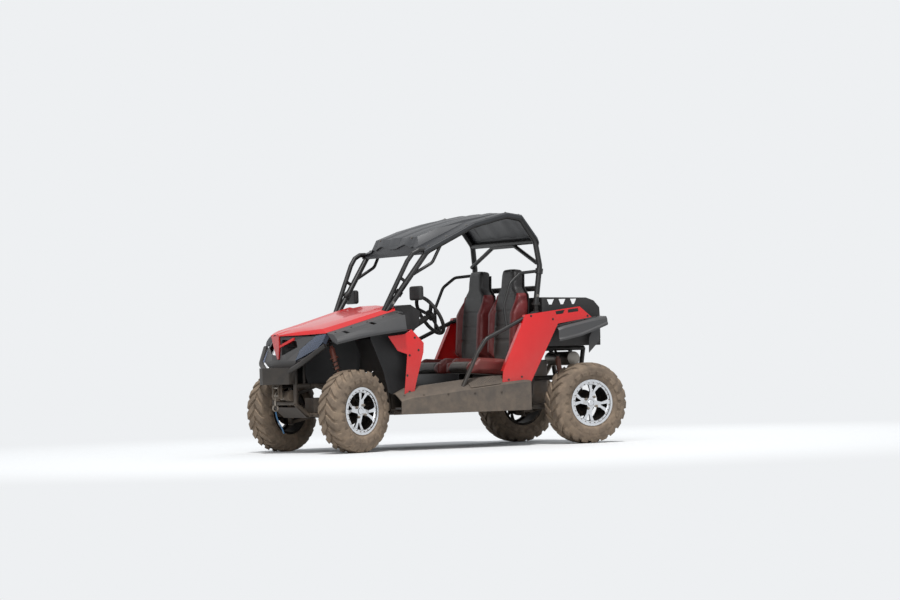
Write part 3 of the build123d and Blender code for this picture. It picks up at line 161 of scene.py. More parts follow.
def dust(tree, place, low, high, least, most):
    """The share of dust, from most at height low to least at high, in blotches, more on tops."""
    fall = ramp(tree, parts_of(tree, place)[2], high, low)
    blotch = ramp(tree, noise(tree, place, dust_blotch, 6.0, 0.65), 0.3, 0.7)
    normal = add(tree, "ShaderNodeTexCoord").outputs["Normal"]
    top = ramp(tree, parts_of(tree, normal)[2], 0.2, 1.0)
    share = maths(tree, "MULTIPLY_ADD", fall, most - least, least)
    spread = maths(tree, "MULTIPLY_ADD", blotch, 0.45, 0.55)
    lain = maths(tree, "MULTIPLY_ADD", top, 0.4, spread)
    return maths(tree, "MULTIPLY", share, lain, clamp=True)


def dusty(name, code, roughness, low, high, least, most, grain=0.0, depth=0.0, **shader_facts):
    """A coloured surface with its own grain, under dust that thins out from low to high."""
    material, tree, shader, place = new_material(name, **shader_facts)
    dark = [c * 0.8 for c in linear(code)[:3]] + [1]
    own = blend_colours(tree, noise(tree, place, 0.35), dark, linear(code))
    soil = blend_colours(tree, noise(tree, place, 0.05), dust_dark, dust_pale)
    share = dust(tree, place, low, high, least, most)
    colour = blend_colours(tree, share, own, soil)
    clean = maths(tree, "MULTIPLY_ADD", noise(tree, place, 0.02), 0.12, roughness - 0.06)
    height = noise(tree, place, grain) if grain else None
    rough = blend_values(tree, share, clean, dust_roughness)
    put(tree, shader, colour, rough, height, depth)
    return material


# How far a seat's middle line lies from the vehicle's, and the bolsters' seams from that line
seat_middle = 0.300
bolster_edge = 0.160


def two_tone_vinyl():
    """Black vinyl, dark red on the bolsters, with a leather grain of about 2 mm."""
    material, tree, shader, place = new_material("two_tone_seat_vinyl")
    across = parts_of(tree, place)
    side = maths(tree, "ABSOLUTE", across[1])
    reach = maths(tree, "ABSOLUTE", maths(tree, "SUBTRACT", side, seat_middle))
    bolster = ramp(tree, reach, bolster_edge + 0.0005, bolster_edge + 0.0025)
    below_head = ramp(tree, across[2], 1.245, 1.240)
    red = maths(tree, "MULTIPLY", bolster, below_head)
    shade = noise(tree, place, 0.2)
    black = blend_colours(tree, shade, linear("#0e0e10"), linear("#1a1a1d"))
    wine = blend_colours(tree, shade, linear("#56090f"), linear("#6e0d14"))
    share = dust(tree, place, 0.5, 1.3, 0.02, 0.1)
    colour = blend_colours(tree, share, blend_colours(tree, red, black, wine), dust_pale)
    cells = [("Vector", place), ("Scale", 1 / 0.0022)]
    grain = add(tree, "ShaderNodeTexVoronoi", cells, feature="DISTANCE_TO_EDGE").outputs["Distance"]
    rough = blend_values(tree, share, 0.46, 0.85)
    put(tree, shader, colour, rough, ramp(tree, grain, 0.0, 0.25), 0.00015)
    return material


def redden_tail(material):
    """Turns a lens material red on the rear half of the vehicle."""
    tree = material.node_tree
    base = tree.nodes["Principled BSDF"].inputs["Base Color"]
    place = add(tree, "ShaderNodeTexCoord").outputs["Object"]
    front = ramp(tree, parts_of(tree, place)[0], -0.1, 0.1)
    own = base.links[0].from_socket
    tree.links.new(blend_colours(tree, front, linear("#7c0808"), own), base)


# Finishes. After the name and the colour: roughness, the heights where dust is most and least,
# the least and the most dust, then the grain's size and depth in metres

# Gloss injection-moulded ABS, red: clear reflections where clean, pinkish where dust lies
red_abs = dusty("gloss_red_abs", "#cb0a10", 0.3, 0.4, 1.1, 0.01, 0.08, coat=0.35)
# Grained polypropylene, dark grey: leather-like grain of about 1 mm, dulled by dust
grey_pp = dusty("grained_grey_pp", "#38393b", 0.5, 0.4, 0.95, 0.03, 0.18, 0.0012, 0.0001)
# The same moulding low on the sides, where spray has dried brown
sill_pp = dusty("muddy_grey_pp", "#302f2f", 0.6, 0.25, 0.72, 0.10, 0.38, 0.0015, 0.0001)
# Thermoformed roof sheet, satin dark grey with a slow ripple
roof_sheet = dusty("satin_roof_sheet", "#232529", 0.42, 0.6, 1.4, 0.005, 0.08, 0.004, 0.00008)
# Powder-coated steel tube: black, with fine orange peel of about 0.8 mm
black_coat = dusty("black_powder_coat", "#0b0b0c", 0.42, 0.3, 1.0, 0.01, 0.14, 0.0008, 0.00004)
# The same coat on the low frame, dulled by mud
frame_coat = dusty("muddy_powder_coat", "#0f0e0e", 0.6, 0.2, 0.75, 0.03, 0.3, 0.0012, 0.00006)
# Matt black moulded plastic of the cabin and bed, faintly grained
black_pp = dusty("matt_black_pp", "#121214", 0.6, 0.3, 0.95, 0.015, 0.16, 0.001, 0.0001)
# The same plastic in the arches, by the foot wells and under the seats, darker and nearly without
# dust: painted shade that keeps them black
painted_shade_black = dusty("painted_shade_black_pp", "#08080a", 0.5, 0.1, 0.6, 0.0, 0.03, 0.001, 0.0001)
# Soft black foam grip of the steering wheel, without shine
grip = dusty("black_grip_foam", "#121212", 0.75, 0.3, 1.0, 0.02, 0.1, 0.0015, 0.0001)
# Bare and zinc-plated steel: soft grey metal shine through patches of dust
steel = dusty("plated_steel", "#8d8a85", 0.35, 0.3, 0.9, 0.05, 0.4, metallic=1.0)
# Die-cast aluminium housings, dull grey with a sandy skin
alloy = dusty(
    "die_cast_aluminium", "#8b8b8c", 0.5, 0.3, 0.9, 0.2, 0.7, 0.0015, 0.0001, metallic=0.9
)
# Cast iron of the uprights, nearly black under oil and dust
iron = dusty("oiled_cast_iron", "#2a2725", 0.65, 0.2, 0.7, 0.2, 0.7, 0.002, 0.0002, metallic=0.5)
# Aluminium of the rims as cast and turned, bright, with dust in the corners
rim_face = dusty("machined_rim_aluminium", "#b9bcc0", 0.22, 0.2, 0.7, 0.05, 0.3, metallic=1.0)
# Powder-coated damper bodies, red brown
damper_coat = dusty("red_brown_spring_coat", "#6a2a1c", 0.45, 0.3, 0.9, 0.1, 0.5)
# Tyre rubber, nearly all under tan dust
rubber = dusty("dusty_tyre_rubber", "#2e2926", 0.85, -0.2, 1.0, 0.5, 0.8, 0.003, 0.0003)
# Vinyl of the seats, a soft sheen on a leather grain, black with dark red bolsters
vinyl = two_tone_vinyl()
# Woven polyester webbing, blue and without shine
webbing = dusty("blue_webbing", "#155d88", 0.8, 0.1, 0.6, 0.02, 0.15, 0.001, 0.0001)
# Polycarbonate lamp lenses: clear with a smoky blue cast in front, red at the tail, thinly dusty
lens = dusty("smoky_polycarbonate", "#5f6c84", 0.08, 0.5, 1.3, 0.02, 0.08, ior=1.58)
lens.node_tree.nodes["Principled BSDF"].inputs["Transmission Weight"].default_value = 0.6
redden_tail(lens)
# Silvered glass of the mirrors: a clean, bright reflection
silvered_glass = dusty("silvered_mirror_glass", "#c9ced2", 0.03, 0.6, 1.4, 0.0, 0.03, metallic=1.0)
# Vacuum-metallised bowls behind the lenses, dark so that the projectors stand out
bowl_metal = dusty("dark_metallised_bowl", "#3a4150", 0.25, 0.5, 1.3, 0.0, 0.05, metallic=0.8)

finish_of_slot = {
    "red_panel": red_abs, "dark_panel": grey_pp, "sill_plastic": sill_pp,
    "roof_plastic": roof_sheet, "black_tube": black_coat, "frame_tube": frame_coat,
    "black_plastic": black_pp, "seat_vinyl": vinyl, "grip": grip, "lens": lens,
    "steel": steel, "alloy": alloy, "iron": iron, "damper_paint": damper_coat,
    "rim_alloy": rim_face, "tyre_rubber": rubber, "strap_web": webbing,
}


def dress(piece, material):
    """Gives a piece one material."""
    piece.data.materials.clear()
    piece.data.materials.append(material)


for node, slot in slot_of_node.items():
    dress(nodes[node], finish_of_slot[slot])


# Modelling tools

add_circle = bpy.ops.mesh.primitive_circle_add
add_cube = bpy.ops.mesh.primitive_cube_add
add_cylinder = bpy.ops.mesh.primitive_cylinder_add
add_plane = bpy.ops.mesh.primitive_plane_add


def deselect():
    """Leaves no object selected and no mode but object mode."""
    if bpy.context.object and bpy.context.object.mode != "OBJECT":
        bpy.ops.object.mode_set(mode="OBJECT")
    bpy.ops.object.select_all(action="DESELECT")


def pick(piece):
    """Makes one object the only selected and the active one."""
    deselect()
    piece.select_set(True)
    bpy.context.view_layer.objects.active = piece


def placed(add_primitive, **facts):
    """A primitive, added with nothing else selected."""
    deselect()
    add_primitive(**facts)
    return bpy.context.object


def baked(piece):
    """A piece whose place, turn and size are put into its mesh."""
    pick(piece)
    bpy.ops.object.transform_apply(location=True, rotation=True, scale=True)
    return piece


def finish(piece, name, slot, body="chassis", smooth=30):
    """Names a new piece, and gives it its shading, its finish and its body."""
    baked(piece)
    bpy.ops.object.shade_smooth_by_angle(angle=radians(smooth))
    piece.name = name
    piece.data.name = name
    dress(piece, finish_of_slot[slot])
    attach(piece, body)
    return piece


def edit(piece, kind="VERT"):
    """Opens a piece in edit mode with nothing selected."""
    pick(piece)
    bpy.ops.object.mode_set(mode="EDIT")
    bpy.ops.mesh.select_all(action="DESELECT")
    bpy.ops.mesh.select_mode(type=kind)


def edit_all(piece, kind="VERT"):
    """Opens a piece in edit mode with all of it selected."""
    edit(piece, kind)
    bpy.ops.mesh.select_all(action="SELECT")


def close():
    """Goes back to object mode."""
    bpy.ops.object.mode_set(mode="OBJECT")


def grab(piece, test, kind="VERT"):
    """Selects the vertices, or the faces, of a piece that pass a test, and stays in edit mode."""
    edit(piece, kind)
    close()
    items = piece.data.vertices if kind == "VERT" else piece.data.polygons
    for item in items:
        item.select = test(item)
    bpy.ops.object.mode_set(mode="EDIT")


def raised(piece, outward, margin, rise):
    """Insets the faces that look outward, and lifts or sinks them by a rise."""
    outward = Vector(outward)
    grab(piece, lambda face: face.normal.dot(outward) > 0.9, "FACE")
    bpy.ops.mesh.inset(thickness=margin)
    bpy.ops.mesh.extrude_region_move(TRANSFORM_OT_translate={"value": outward * rise})
    close()


def turned_outward(piece):
    """A closed piece whose faces all look outward."""
    edit_all(piece)
    bpy.ops.mesh.normals_make_consistent(inside=False)
    close()
    return piece


def modify(piece, kind, **settings):
    """Adds one modifier and applies it."""
    pick(piece)
    made = piece.modifiers.new(kind.title(), kind)
    for name, value in settings.items():
        setattr(made, name, value)
    bpy.ops.object.modifier_apply(modifier=made.name)


def rounded(piece, width, segments=2, angle=30):
    """Rounds the edges that are sharper than an angle."""
    limit = {"limit_method": "ANGLE", "angle_limit": radians(angle)}
    modify(piece, "BEVEL", width=width, segments=segments, **limit)
    return piece


def moved(piece, place):
    """A piece whose mesh is moved by a matrix; a mirrored one is turned right side out."""
    piece.data.transform(place)
    if place.determinant() < 0:
        piece.data.flip_normals()
    return piece


def copied(piece, place=Matrix.Identity(4)):
    """A copy of a piece with its own mesh, moved by a matrix."""
    made = piece.copy()
    made.data = piece.data.copy()
    bpy.context.scene.collection.objects.link(made)
    return moved(made, place)


def repeated(piece, places):
    """Copies of a piece at matrices or offsets in metres, in place of the piece itself."""
    made = []
    for place in places:
        turned = isinstance(place, Matrix)
        made.append(copied(piece, place if turned else Matrix.Translation(place)))
    bpy.data.objects.remove(piece)
    return made


def joined(pieces):
    """Joins pieces into the first one."""
    deselect()
    for piece in pieces:
        piece.select_set(True)
    bpy.context.view_layer.objects.active = pieces[0]
    bpy.ops.object.join()
    return pieces[0]


def spun(profile, steps):
    """A closed profile of (radius, y) pairs turned round the Y axis."""
    piece = placed(add_plane, size=1)
    edit_all(piece)
    bpy.ops.mesh.delete(type="VERT")
    close()
    count = len(profile)
    points = [(radius, y, 0) for radius, y in profile]
    piece.data.from_pydata(points, [(i, (i + 1) % count) for i in range(count)], [])
    edit_all(piece)
    bpy.ops.mesh.spin(steps=steps, angle=2 * pi, center=(0, 0, 0), axis=(0, 1, 0))
    bpy.ops.mesh.select_all(action="SELECT")
    bpy.ops.mesh.remove_doubles(threshold=0.00001)
    bpy.ops.mesh.normals_make_consistent(inside=False)
    close()
    return piece


def node_copy(name):
    """A loose copy of a CAD node, with its double vertices and flat triangles merged."""
    piece = copied(nodes[name])
    piece.parent = None
    for key in list(piece.keys()):
        del piece[key]
    edit_all(piece)
    bpy.ops.mesh.remove_doubles(threshold=0.00002)
    bpy.ops.mesh.dissolve_limited(angle_limit=radians(1))
    close()
    return piece


def shaped(name, width, crease):
    """A piece in place of a CAD node, with the edges sharper than an angle rounded to a width."""
    piece = node_copy(name)
    if width:
        rounded(piece, width, 2, crease)
    finish(piece, name + "_moulded", slot_of_node[name], body_of_node[name], crease + 10)
    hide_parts(name)
    return piece


def block(low, high):
    """A box between two corners given in millimetres."""
    low, high = at(*low), at(*high)
    piece = placed(add_cube, size=1, location=(low + high) / 2)
    piece.scale = high - low
    return baked(piece)


def twin_blocks(x, middle_y, half_y, z):
    """A box on each side of the vehicle, half_y to both sides of a distance from its middle."""
    made = []
    for side in both_sides:
        middle = side * middle_y
        made.append(block((x[0], middle - half_y, z[0]), (x[1], middle + half_y, z[1])))
    return made


def leaned(piece, height, shift):
    """A piece whose vertices above a height are moved along X."""
    for vertex in piece.data.vertices:
        if vertex.co.z > height:
            vertex.co.x += shift
    return piece


def flat_face(corners):
    """One flat face between corners given in millimetres."""
    piece = placed(add_circle, vertices=len(corners), radius=0.1, fill_type="NGON")
    for vertex, corner in zip(piece.data.vertices, corners):
        vertex.co = at(*corner)
    return piece


def thickened(piece, edge_radius):
    """A sheet made 3 mm thick, with rounded edges."""
    modify(piece, "SOLIDIFY", thickness=0.003, offset=0)
    return rounded(turned_outward(piece), edge_radius)


def rod(points, radius):
    """A round rod through points, with a ball at each bend."""
    pieces = []
    for start, end in zip(points, points[1:]):
        along, middle = end - start, (start + end) / 2
        turn = along.to_track_quat("Z", "Y").to_euler()
        facts = {"radius": radius, "depth": along.length, "location": middle, "rotation": turn}
        pieces.append(placed(add_cylinder, vertices=24, **facts))
    add_ball = bpy.ops.mesh.primitive_uv_sphere_add
    for place in points[1:-1]:
        pieces.append(placed(add_ball, segments=24, ring_count=12, radius=radius, location=place))
    return joined(pieces)


# Studio: pale floor and backdrop, soft light, and the photograph's camera

backdrop = linear("#eef0f2")


def mixed_out(tree, share, first, second, output):
    """Joins a mix of two shaders to an output node."""
    mixed = add(tree, "ShaderNodeMixShader", [(0, share), (1, first), (2, second)])
    tree.links.new(mixed.outputs[0], tree.nodes[output].inputs[0])


def studio_floor():
    """A pale floor that takes the shadow and turns into the backdrop beyond a few metres."""
    floor = placed(add_plane, size=400, location=(0, 0, 0))
    floor.name = "studio_floor"
    material, tree, shader, place = new_material("pale_floor")
    shader.inputs["Base Color"].default_value = linear("#e2e2e1")
    shader.inputs["Roughness"].default_value = 0.9
    share = ramp(tree, vector_maths(tree, "LENGTH", place, result="Value"), 2.5, 7.0)
    glow = add(tree, "ShaderNodeEmission", [(0, backdrop), (1, 1.0)]).outputs[0]
    mixed_out(tree, share, shader.outputs[0], glow, "Material Output")
    dress(floor, material)


def studio_sky():
    """A soft bluish sky as light, which the camera, mirrors and glass see as the backdrop."""
    world = bpy.data.worlds.new("soft_sky")
    bpy.context.scene.world = world
    world.use_nodes = True
    tree = world.node_tree
    back = tree.nodes["Background"]
    back.inputs[0].default_value = linear("#dfe8f2")
    back.inputs[1].default_value = 0.5
    shown = add(tree, "ShaderNodeBackground", [(0, backdrop), (1, 1.0)]).outputs[0]
    rays = add(tree, "ShaderNodeLightPath").outputs
    seen = rays["Is Camera Ray"]
    for other in ("Is Glossy Ray", "Is Transmission Ray"):
        seen = maths(tree, "MAXIMUM", seen, rays[other])
    mixed_out(tree, seen, back.outputs[0], shown, "World Output")


def lamp(name, kind, place, target, energy, size):
    """One studio lamp that points at a target; size is metres, or an angle for a sun."""
    data = bpy.data.lights.new(name, kind)
    data.energy = energy
    if kind == "AREA":
        data.size = size
    else:
        data.angle = size
    made = new_object(name, data)
    made.location = place
    made.rotation_euler = (Vector(target) - Vector(place)).to_track_quat("-Z", "Y").to_euler()


def photo_camera():
    """The photograph's camera: a long lens low at the front left."""
    turn, rise, roll, distance = radians(26.09), radians(-0.87), radians(-1.69), 28.817
    target = Vector((-0.236, 0, 1.205))
    back = Vector((sin(turn) * cos(rise), cos(turn) * cos(rise), sin(rise)))
    right = (-back).cross(Vector((0, 0, 1))).normalized()
    up = right.cross(-back)
    right, up = right * cos(roll) + up * sin(roll), up * cos(roll) - right * sin(roll)
    data = bpy.data.cameras.new("photo_camera")
    data.lens, data.sensor_width = 140, 36
    data.clip_end = 500
    made = new_object("photo_camera", data)
    made.matrix_world = Matrix((right, up, back)).transposed().to_4x4()
    made.location = target + back * distance
    bpy.context.scene.camera = made


studio_floor()
studio_sky()
lamp("sun", "SUN", (2, 5, 12), (0, 0, 0.5), 2.6, radians(5))
lamp("sky_fill", "AREA", (6, 9, 5), (0, 0, 0.8), 380, 6)
lamp("rim_fill", "AREA", (-8, -6, 5), (0, 0, 0.8), 160, 6)
photo_camera()
bpy.context.scene.view_settings.view_transform = "Standard"


# Winch rope, out of the drum, through the rollers and down to the hook; and its pull strap

winch_x = 1230
drum_height = 464.3
rope_height = 498.1
rope_wide = 0.007
rope_drop_x = 1316
strap_wide, strap_thick = 0.025, 0.003
# The strands are laid so that a groove comes by every few millimetres along the rope
rope_strands, strand_pitch, strand_groove = 6, 0.0073, 0.0007
rope_sides = 30


def routed(points, step):
    """The places along a smooth route through points in millimetres, at most a step apart."""
    data = bpy.data.curves.new("route", "CURVE")
    data.dimensions = "3D"
    data.resolution_u = 24
    spline = data.splines.new("NURBS")
    spline.points.add(len(points) - 1)
    for point, place in zip(spline.points, points):
        point.co = (*at(*place), 1)
    spline.order_u = 3
    spline.use_endpoint_u = True
    guide = new_object("route", data)
    line = bpy.data.meshes.new_from_object(guide)
    places = [vertex.co.copy() for vertex in line.vertices]
    bpy.data.meshes.remove(line)
    bpy.data.objects.remove(guide)
    made = [places[0]]
    for start, end in zip(places, places[1:]):
        count = max(1, ceil((end - start).length / step))
        made += [start.lerp(end, (index + 1) / count) for index in range(count)]
    return made


def swept(places, section_at, name):
    """A closed piece along places in the XZ plane; section_at gives its (across, up) outline."""
    points, faces, reach = [], [], 0.0
    across = Vector((0, 1, 0))
    for index, place in enumerate(places):
        before, after = places[max(index - 1, 0)], places[min(index + 1, len(places) - 1)]
        up = (after - before).normalized().cross(across).normalized()
        if index:
            reach += (place - before).length
        section = section_at(reach)
        points += [place + across * wide + up * high for wide, high in section]
    count = len(section)
    for low in range(0, len(points) - count, count):
        for side in range(count):
            step = (side + 1) % count
            faces.append((low + side, low + step, low + count + step, low + count + side))
    faces.append(tuple(reversed(range(count))))
    faces.append(tuple(range(len(points) - count, len(points))))
    data = bpy.data.meshes.new(name)
    data.from_pydata([tuple(point) for point in points], [], faces)
    return turned_outward(new_object(name, data))


def rope_section(reach):
    """The outline of the laid strands at a distance along the rope."""
    section = []
    for side in range(rope_sides):
        turn = 2 * pi * side / rope_sides
        groove = cos(rope_strands * turn - 2 * pi / strand_pitch * reach)
        radius = rope_wide / 2 - strand_groove * (1 + groove) / 2
        section.append((radius * cos(turn), radius * sin(turn)))
    return section


def strap_section(reach):
    """The flat outline of the strap with its thinner edges, the same all along."""
    outline = [(-0.5, 0), (-0.46, 0.5), (0.46, 0.5), (0.5, 0), (0.46, -0.5), (-0.46, -0.5)]
    return [(wide * strap_wide, high * strap_thick) for wide, high in outline]


rope_points = [(x, 0, rope_height) for x in (winch_x, 1250, rope_drop_x)]
rope_points += [(rope_drop_x, 0, 432), (rope_drop_x, 0, 414.3)]
rope_line = routed(rope_points, 0.0015)
rope = swept(rope_line, rope_section, "winch_wire_rope")
finish(rope, "winch_wire_rope", "steel", smooth=50)
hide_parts("winch_rope")

strap_points = [
    (rope_drop_x, 0, 336.7), (1310, 0, 296.7), (1294, 0, 252.7), (1266, 0, 208.7), (1250, 0, 160.7),
]
strap_line = routed(strap_points, 0.002)
strap = swept(strap_line, strap_section, "winch_pull_strap")
finish(strap, "winch_pull_strap", "strap_web", smooth=50)
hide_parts("winch_strap")


# Moulded panels, with their edges rounded as the mould leaves them

moulded = {}
for name, width, crease in (
    ("hood", 0.003, 9),
    ("roof_panel", 0.003, 9),
    ("front_fenders", 0.003, 12),
    ("rear_fenders", 0.003, 12),
    ("front_fascia", 0.003, 12),
    ("front_side_panels", 0.002, 28),
    ("rear_side_panels", 0.002, 28),
    ("sills", 0.003, 12),
    ("cargo_bed", 0.003, 28),
    ("bull_bar", 0.004, 20),
    ("dashboard", 0.006, 20),
):
    moulded[name] = shaped(name, width, crease)


# Tyres, and the small fittings of the rims

tyre_radius = 0.330
# Half of a tyre's width in millimetres, and the way its lugs lean
tyre_halves = {"front": (114.5, -1), "rear": (139.5, 1)}
# How far a rim's outer face lies inside its tyre's side, in millimetres
rim_inset = 29.7
lug_count = 22
# A lug's width and height, and half of the gap between the two rows
lug_wide, lug_high, lug_start = 0.056, 0.022, 0.005
lug_lean = radians(16)
# How near a vertex has to be to a slice of a lug to belong to it
row_reach = 0.0005
# The lug's foot is wider than its top, and sinks this many millimetres into the casing
foot_flare, foot_depth = 1.22, 4
rear_wheel, front_kingpin = (-1175, 615.5, 330), (950, 545.5, 330)
steer = radians(22)
# From the kingpin out to the middle of a front wheel
wheel_offset = 0.095


def wheel_place(axle, side):
    """Where a wheel round the Y axis at the origin, with its outer face to +Y, belongs."""
    flip = flip_y if side < 0 else Matrix.Identity(4)
    if axle == "rear":
        return Matrix.Translation(at_side(side, *rear_wheel)) @ flip
    knuckle = Matrix.Translation(at_side(side, *front_kingpin)) @ Matrix.Rotation(steer, 4, "Z")
    return knuckle @ Matrix.Translation((0, side * wheel_offset, 0)) @ flip


def tyre_carcass(half):
    """The casing: bead, rim guard, bulged sidewall, shoulder, low crown, and its inner wall."""
    # Radius, and distance in from the tyre's side
    wall = [
        (177.4, 48), (177.4, 31.7), (189.6, 31.7), (190.5, 26), (194, 23), (199, 24), (208, 17),
        (226, 9), (246, 5.5), (266, 6), (283, 11), (297, 20), (307, 33), (313.5, 50),
    ]
    lining = [(296, 50), (283, 28), (262, 20), (236, 22), (206, 38)]
    outer = [(radius, half - inset) for radius, inset in wall] + [(315.5, half * 0.25)]
    outer += [(radius, -y) for radius, y in reversed(outer)]
    inner = [(radius, half - inset) for radius, inset in lining]
    inner = [(radius, -y) for radius, y in reversed(inner)] + inner
    return spun([(radius * mm, y * mm) for radius, y in outer + inner], 96)


def tread_lug(half, lean):
    """One lug: a block in slices, each set over the shoulder and turned along the lean."""
    # Share of the length, top drop, base drop, share of the lean, width
    rows = [
        (0.0, 0, 0, 0.0, 0.92), (0.3, 0, 0, 0.34, 1.0), (0.55, 1, 2, 0.64, 1.0),
        (0.72, 5, 8, 0.83, 0.96), (0.87, 17, 22, 0.95, 0.9), (1.0, 50, 52, 1.0, 0.8),
    ]
    long = half * mm - lug_start
    middle = tyre_radius - lug_high / 2
    lug = placed(add_cube, size=1)
    edit_all(lug)
    bpy.ops.transform.resize(value=(lug_wide, long, lug_high))
    bpy.ops.transform.translate(value=(0, lug_start + long / 2, middle))
    for share, *_ in rows[1:-1]:
        bpy.ops.mesh.select_all(action="SELECT")
        bpy.ops.mesh.bisect(plane_co=(0, lug_start + share * long, 0), plane_no=(0, 1, 0))
    for share, top, base, turn, wide in rows:
        place = lug_start + share * long
        for upper in (True, False):
            grab(lug, lambda v: abs(v.co.y - place) < row_reach and (v.co.z > middle) == upper)
            drop = top if upper else base + foot_depth
            flare = wide if upper else wide * foot_flare
            hinge = (0, place, tyre_radius)
            bpy.ops.transform.resize(value=(flare, 1, 1), center_override=hinge)
            bpy.ops.transform.translate(value=(0, 0, -drop * mm))
            close()
        spin = Matrix.Rotation(-lean * turn * lug_lean, 4, "Y")
        for vertex in lug.data.vertices:
            if abs(vertex.co.y - place) < row_reach:
                vertex.co = spin @ vertex.co
    rounded(lug, 0.0035, 2, 25)
    # No corner stands out past the tyre's radius
    limit = tyre_radius - 0.0002
    for vertex in lug.data.vertices:
        reach = hypot(vertex.co.x, vertex.co.z)
        if reach > limit:
            vertex.co.x *= limit / reach
            vertex.co.z *= limit / reach
    return lug


def build_tyre(half, lean):
    """A casing with two staggered rows of lugs, round the Y axis."""
    pitch = 2 * pi / lug_count
    places = []
    for index in range(lug_count):
        places.append(Matrix.Rotation(index * pitch, 4, "Y"))
        places.append(Matrix.Rotation((index + 0.5) * pitch, 4, "Y") @ flip_y)
    return joined([tyre_carcass(half), *repeated(tread_lug(half, lean), places)])


def rim_finish(axle, side):
    """Diamond-cut rim: bright turned faces, dark paint on what lies deeper or faces sideways."""
    name = f"diamond_cut_rim_{axle}_{side}"
    material, tree, shader, place = new_material(name, metallic=0.85)
    hub = wheel_place(axle, side)
    middle = hub @ Vector((0, 0, 0))
    outward = (hub @ Vector((0, 1, 0)) - middle).normalized()
    face = (tyre_halves[axle][0] - rim_inset) * mm
    arm = vector_maths(tree, "SUBTRACT", place, middle)
    depth = vector_maths(tree, "DOT_PRODUCT", arm, outward, result="Value")
    normal = add(tree, "ShaderNodeTexCoord").outputs["Normal"]
    facing = vector_maths(tree, "DOT_PRODUCT", normal, outward, result="Value")
    # Cut bright down to about 20 mm below the outer face
    shallow = ramp(tree, depth, face - 0.021, face - 0.0195)
    bright = maths(tree, "MULTIPLY", shallow, ramp(tree, facing, 0.55, 0.7))
    paint = blend_colours(tree, noise(tree, place, 0.03), linear("#151312"), linear("#2b2622"))
    own = blend_colours(tree, bright, paint, linear("#d3d5d8"))
    blotch = ramp(tree, noise(tree, place, 0.045, 5.0), 0.5, 0.75)
    soil = maths(tree, "MULTIPLY", blotch, 0.35)
    colour = blend_colours(tree, soil, own, dust_dark)
    rough = blend_values(tree, soil, blend_values(tree, bright, 0.62, 0.2), 0.8)
    # Turning lines about 1.5 mm apart, coarser than the real ones so that they show
    reach = vector_maths(tree, "LENGTH", arm, result="Value")
    wave = maths(tree, "SINE", maths(tree, "MULTIPLY", reach, 2 * pi / 0.0015))
    put(tree, shader, colour, rough, maths(tree, "MULTIPLY", wave, bright), 0.00002)
    return material


def fitting(sides, radius, depth, margin, rise):
    """A nut or stud along the Y axis, with a raised field on its outer face."""
    piece = placed(add_cylinder, vertices=sides, radius=radius, depth=depth)
    moved(piece, Matrix.Rotation(-pi / 2, 4, "X"))
    raised(piece, (0, 1, 0), margin, rise)
    return piece


def ring(count, start, radius, y):
    """Places in a ring round the Y axis."""
    turns = [start + 2 * pi * index / count for index in range(count)]
    return [(radius * sin(turn), y, radius * cos(turn)) for turn in turns]


def hub_fittings(half):
    """Four wheel nuts on their spokes, and a ring of small studs near the lip."""
    face = (half - rim_inset) * mm
    nut = rounded(fitting(6, 0.0115, 0.016, 0.004, 0.005), 0.0012, 2, 40)
    stud = fitting(12, 0.0042, 0.006, 0.0016, 0.0016)
    nuts = repeated(nut, ring(4, radians(57), 0.055, face - 0.006))
    return joined(nuts + repeated(stud, ring(24, pi / 24, 0.1625, face + 0.0022)))


for axle, (half, lean) in tyre_halves.items():
    master = build_tyre(half, lean)
    for side, word in ((1, "left"), (-1, "right")):
        wheel, place = f"{axle}_{word}", wheel_place(axle, side)
        tyre = copied(master, place)
        finish(tyre, f"tyre_{wheel}_lugged", "tyre_rubber", f"wheel_{wheel}", smooth=35)
        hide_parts(f"tyre_{wheel}")
        dress(nodes[f"rim_{wheel}"], rim_finish(axle, side))
        fittings = moved(hub_fittings(half), place)
        finish(fittings, f"rim_{wheel}_nuts", "steel", f"wheel_{wheel}")
    bpy.data.objects.remove(master)


# Seats: blown foam pads under vinyl, with sunk seams and channels

pad_voxel = 0.009
# How hard the cloth is blown up, and how far it may leave the CAD's shape
pad_pressure, pad_growth = 2.0, 0.007
pad_moments = 12
seam_half = 0.006


def swollen(name):
    """A CAD cushion made soft: remeshed, and blown up a little by cloth pressure."""
    pad = rounded(node_copy(name), 0.016, 3)
    modify(pad, "REMESH", mode="VOXEL", voxel_size=pad_voxel)
    modify(pad, "SMOOTH", factor=0.5, iterations=4)
    start = [vertex.co.copy() for vertex in pad.data.vertices]
    cloth = pad.modifiers.new("Cloth", "CLOTH")
    cloth.settings.quality = 4
    cloth.settings.use_pressure = True
    cloth.settings.uniform_pressure_force = pad_pressure
    cloth.settings.effector_weights.gravity = 0
    cloth.collision_settings.use_collision = False
    scene = bpy.context.scene
    for moment in range(1, pad_moments + 1):
        scene.frame_set(moment)
    grown = pad.evaluated_get(bpy.context.evaluated_depsgraph_get())
    blown = [vertex.co.copy() for vertex in grown.to_mesh().vertices]
    grown.to_mesh_clear()
    pad.modifiers.remove(cloth)
    scene.frame_set(1)
    for vertex, old, new in zip(pad.data.vertices, start, blown):
        step = new - old
        if step.length > pad_growth:
            step *= pad_growth / step.length
        vertex.co = old + step
    return pad


def sink(pad, test, depth):
    """Draws a seam or channel in by moving its faces inwards."""
    grab(pad, test, "FACE")
    bpy.ops.transform.shrink_fatten(value=-depth)
    close()


def from_middle(face):
    """How far a face lies from the middle line of its seat."""
    return abs(abs(face.center.y) - seat_middle)


def side_seam(face):
    """Whether a face lies on the seam beside a bolster."""
    return abs(from_middle(face) - bolster_edge) < seam_half


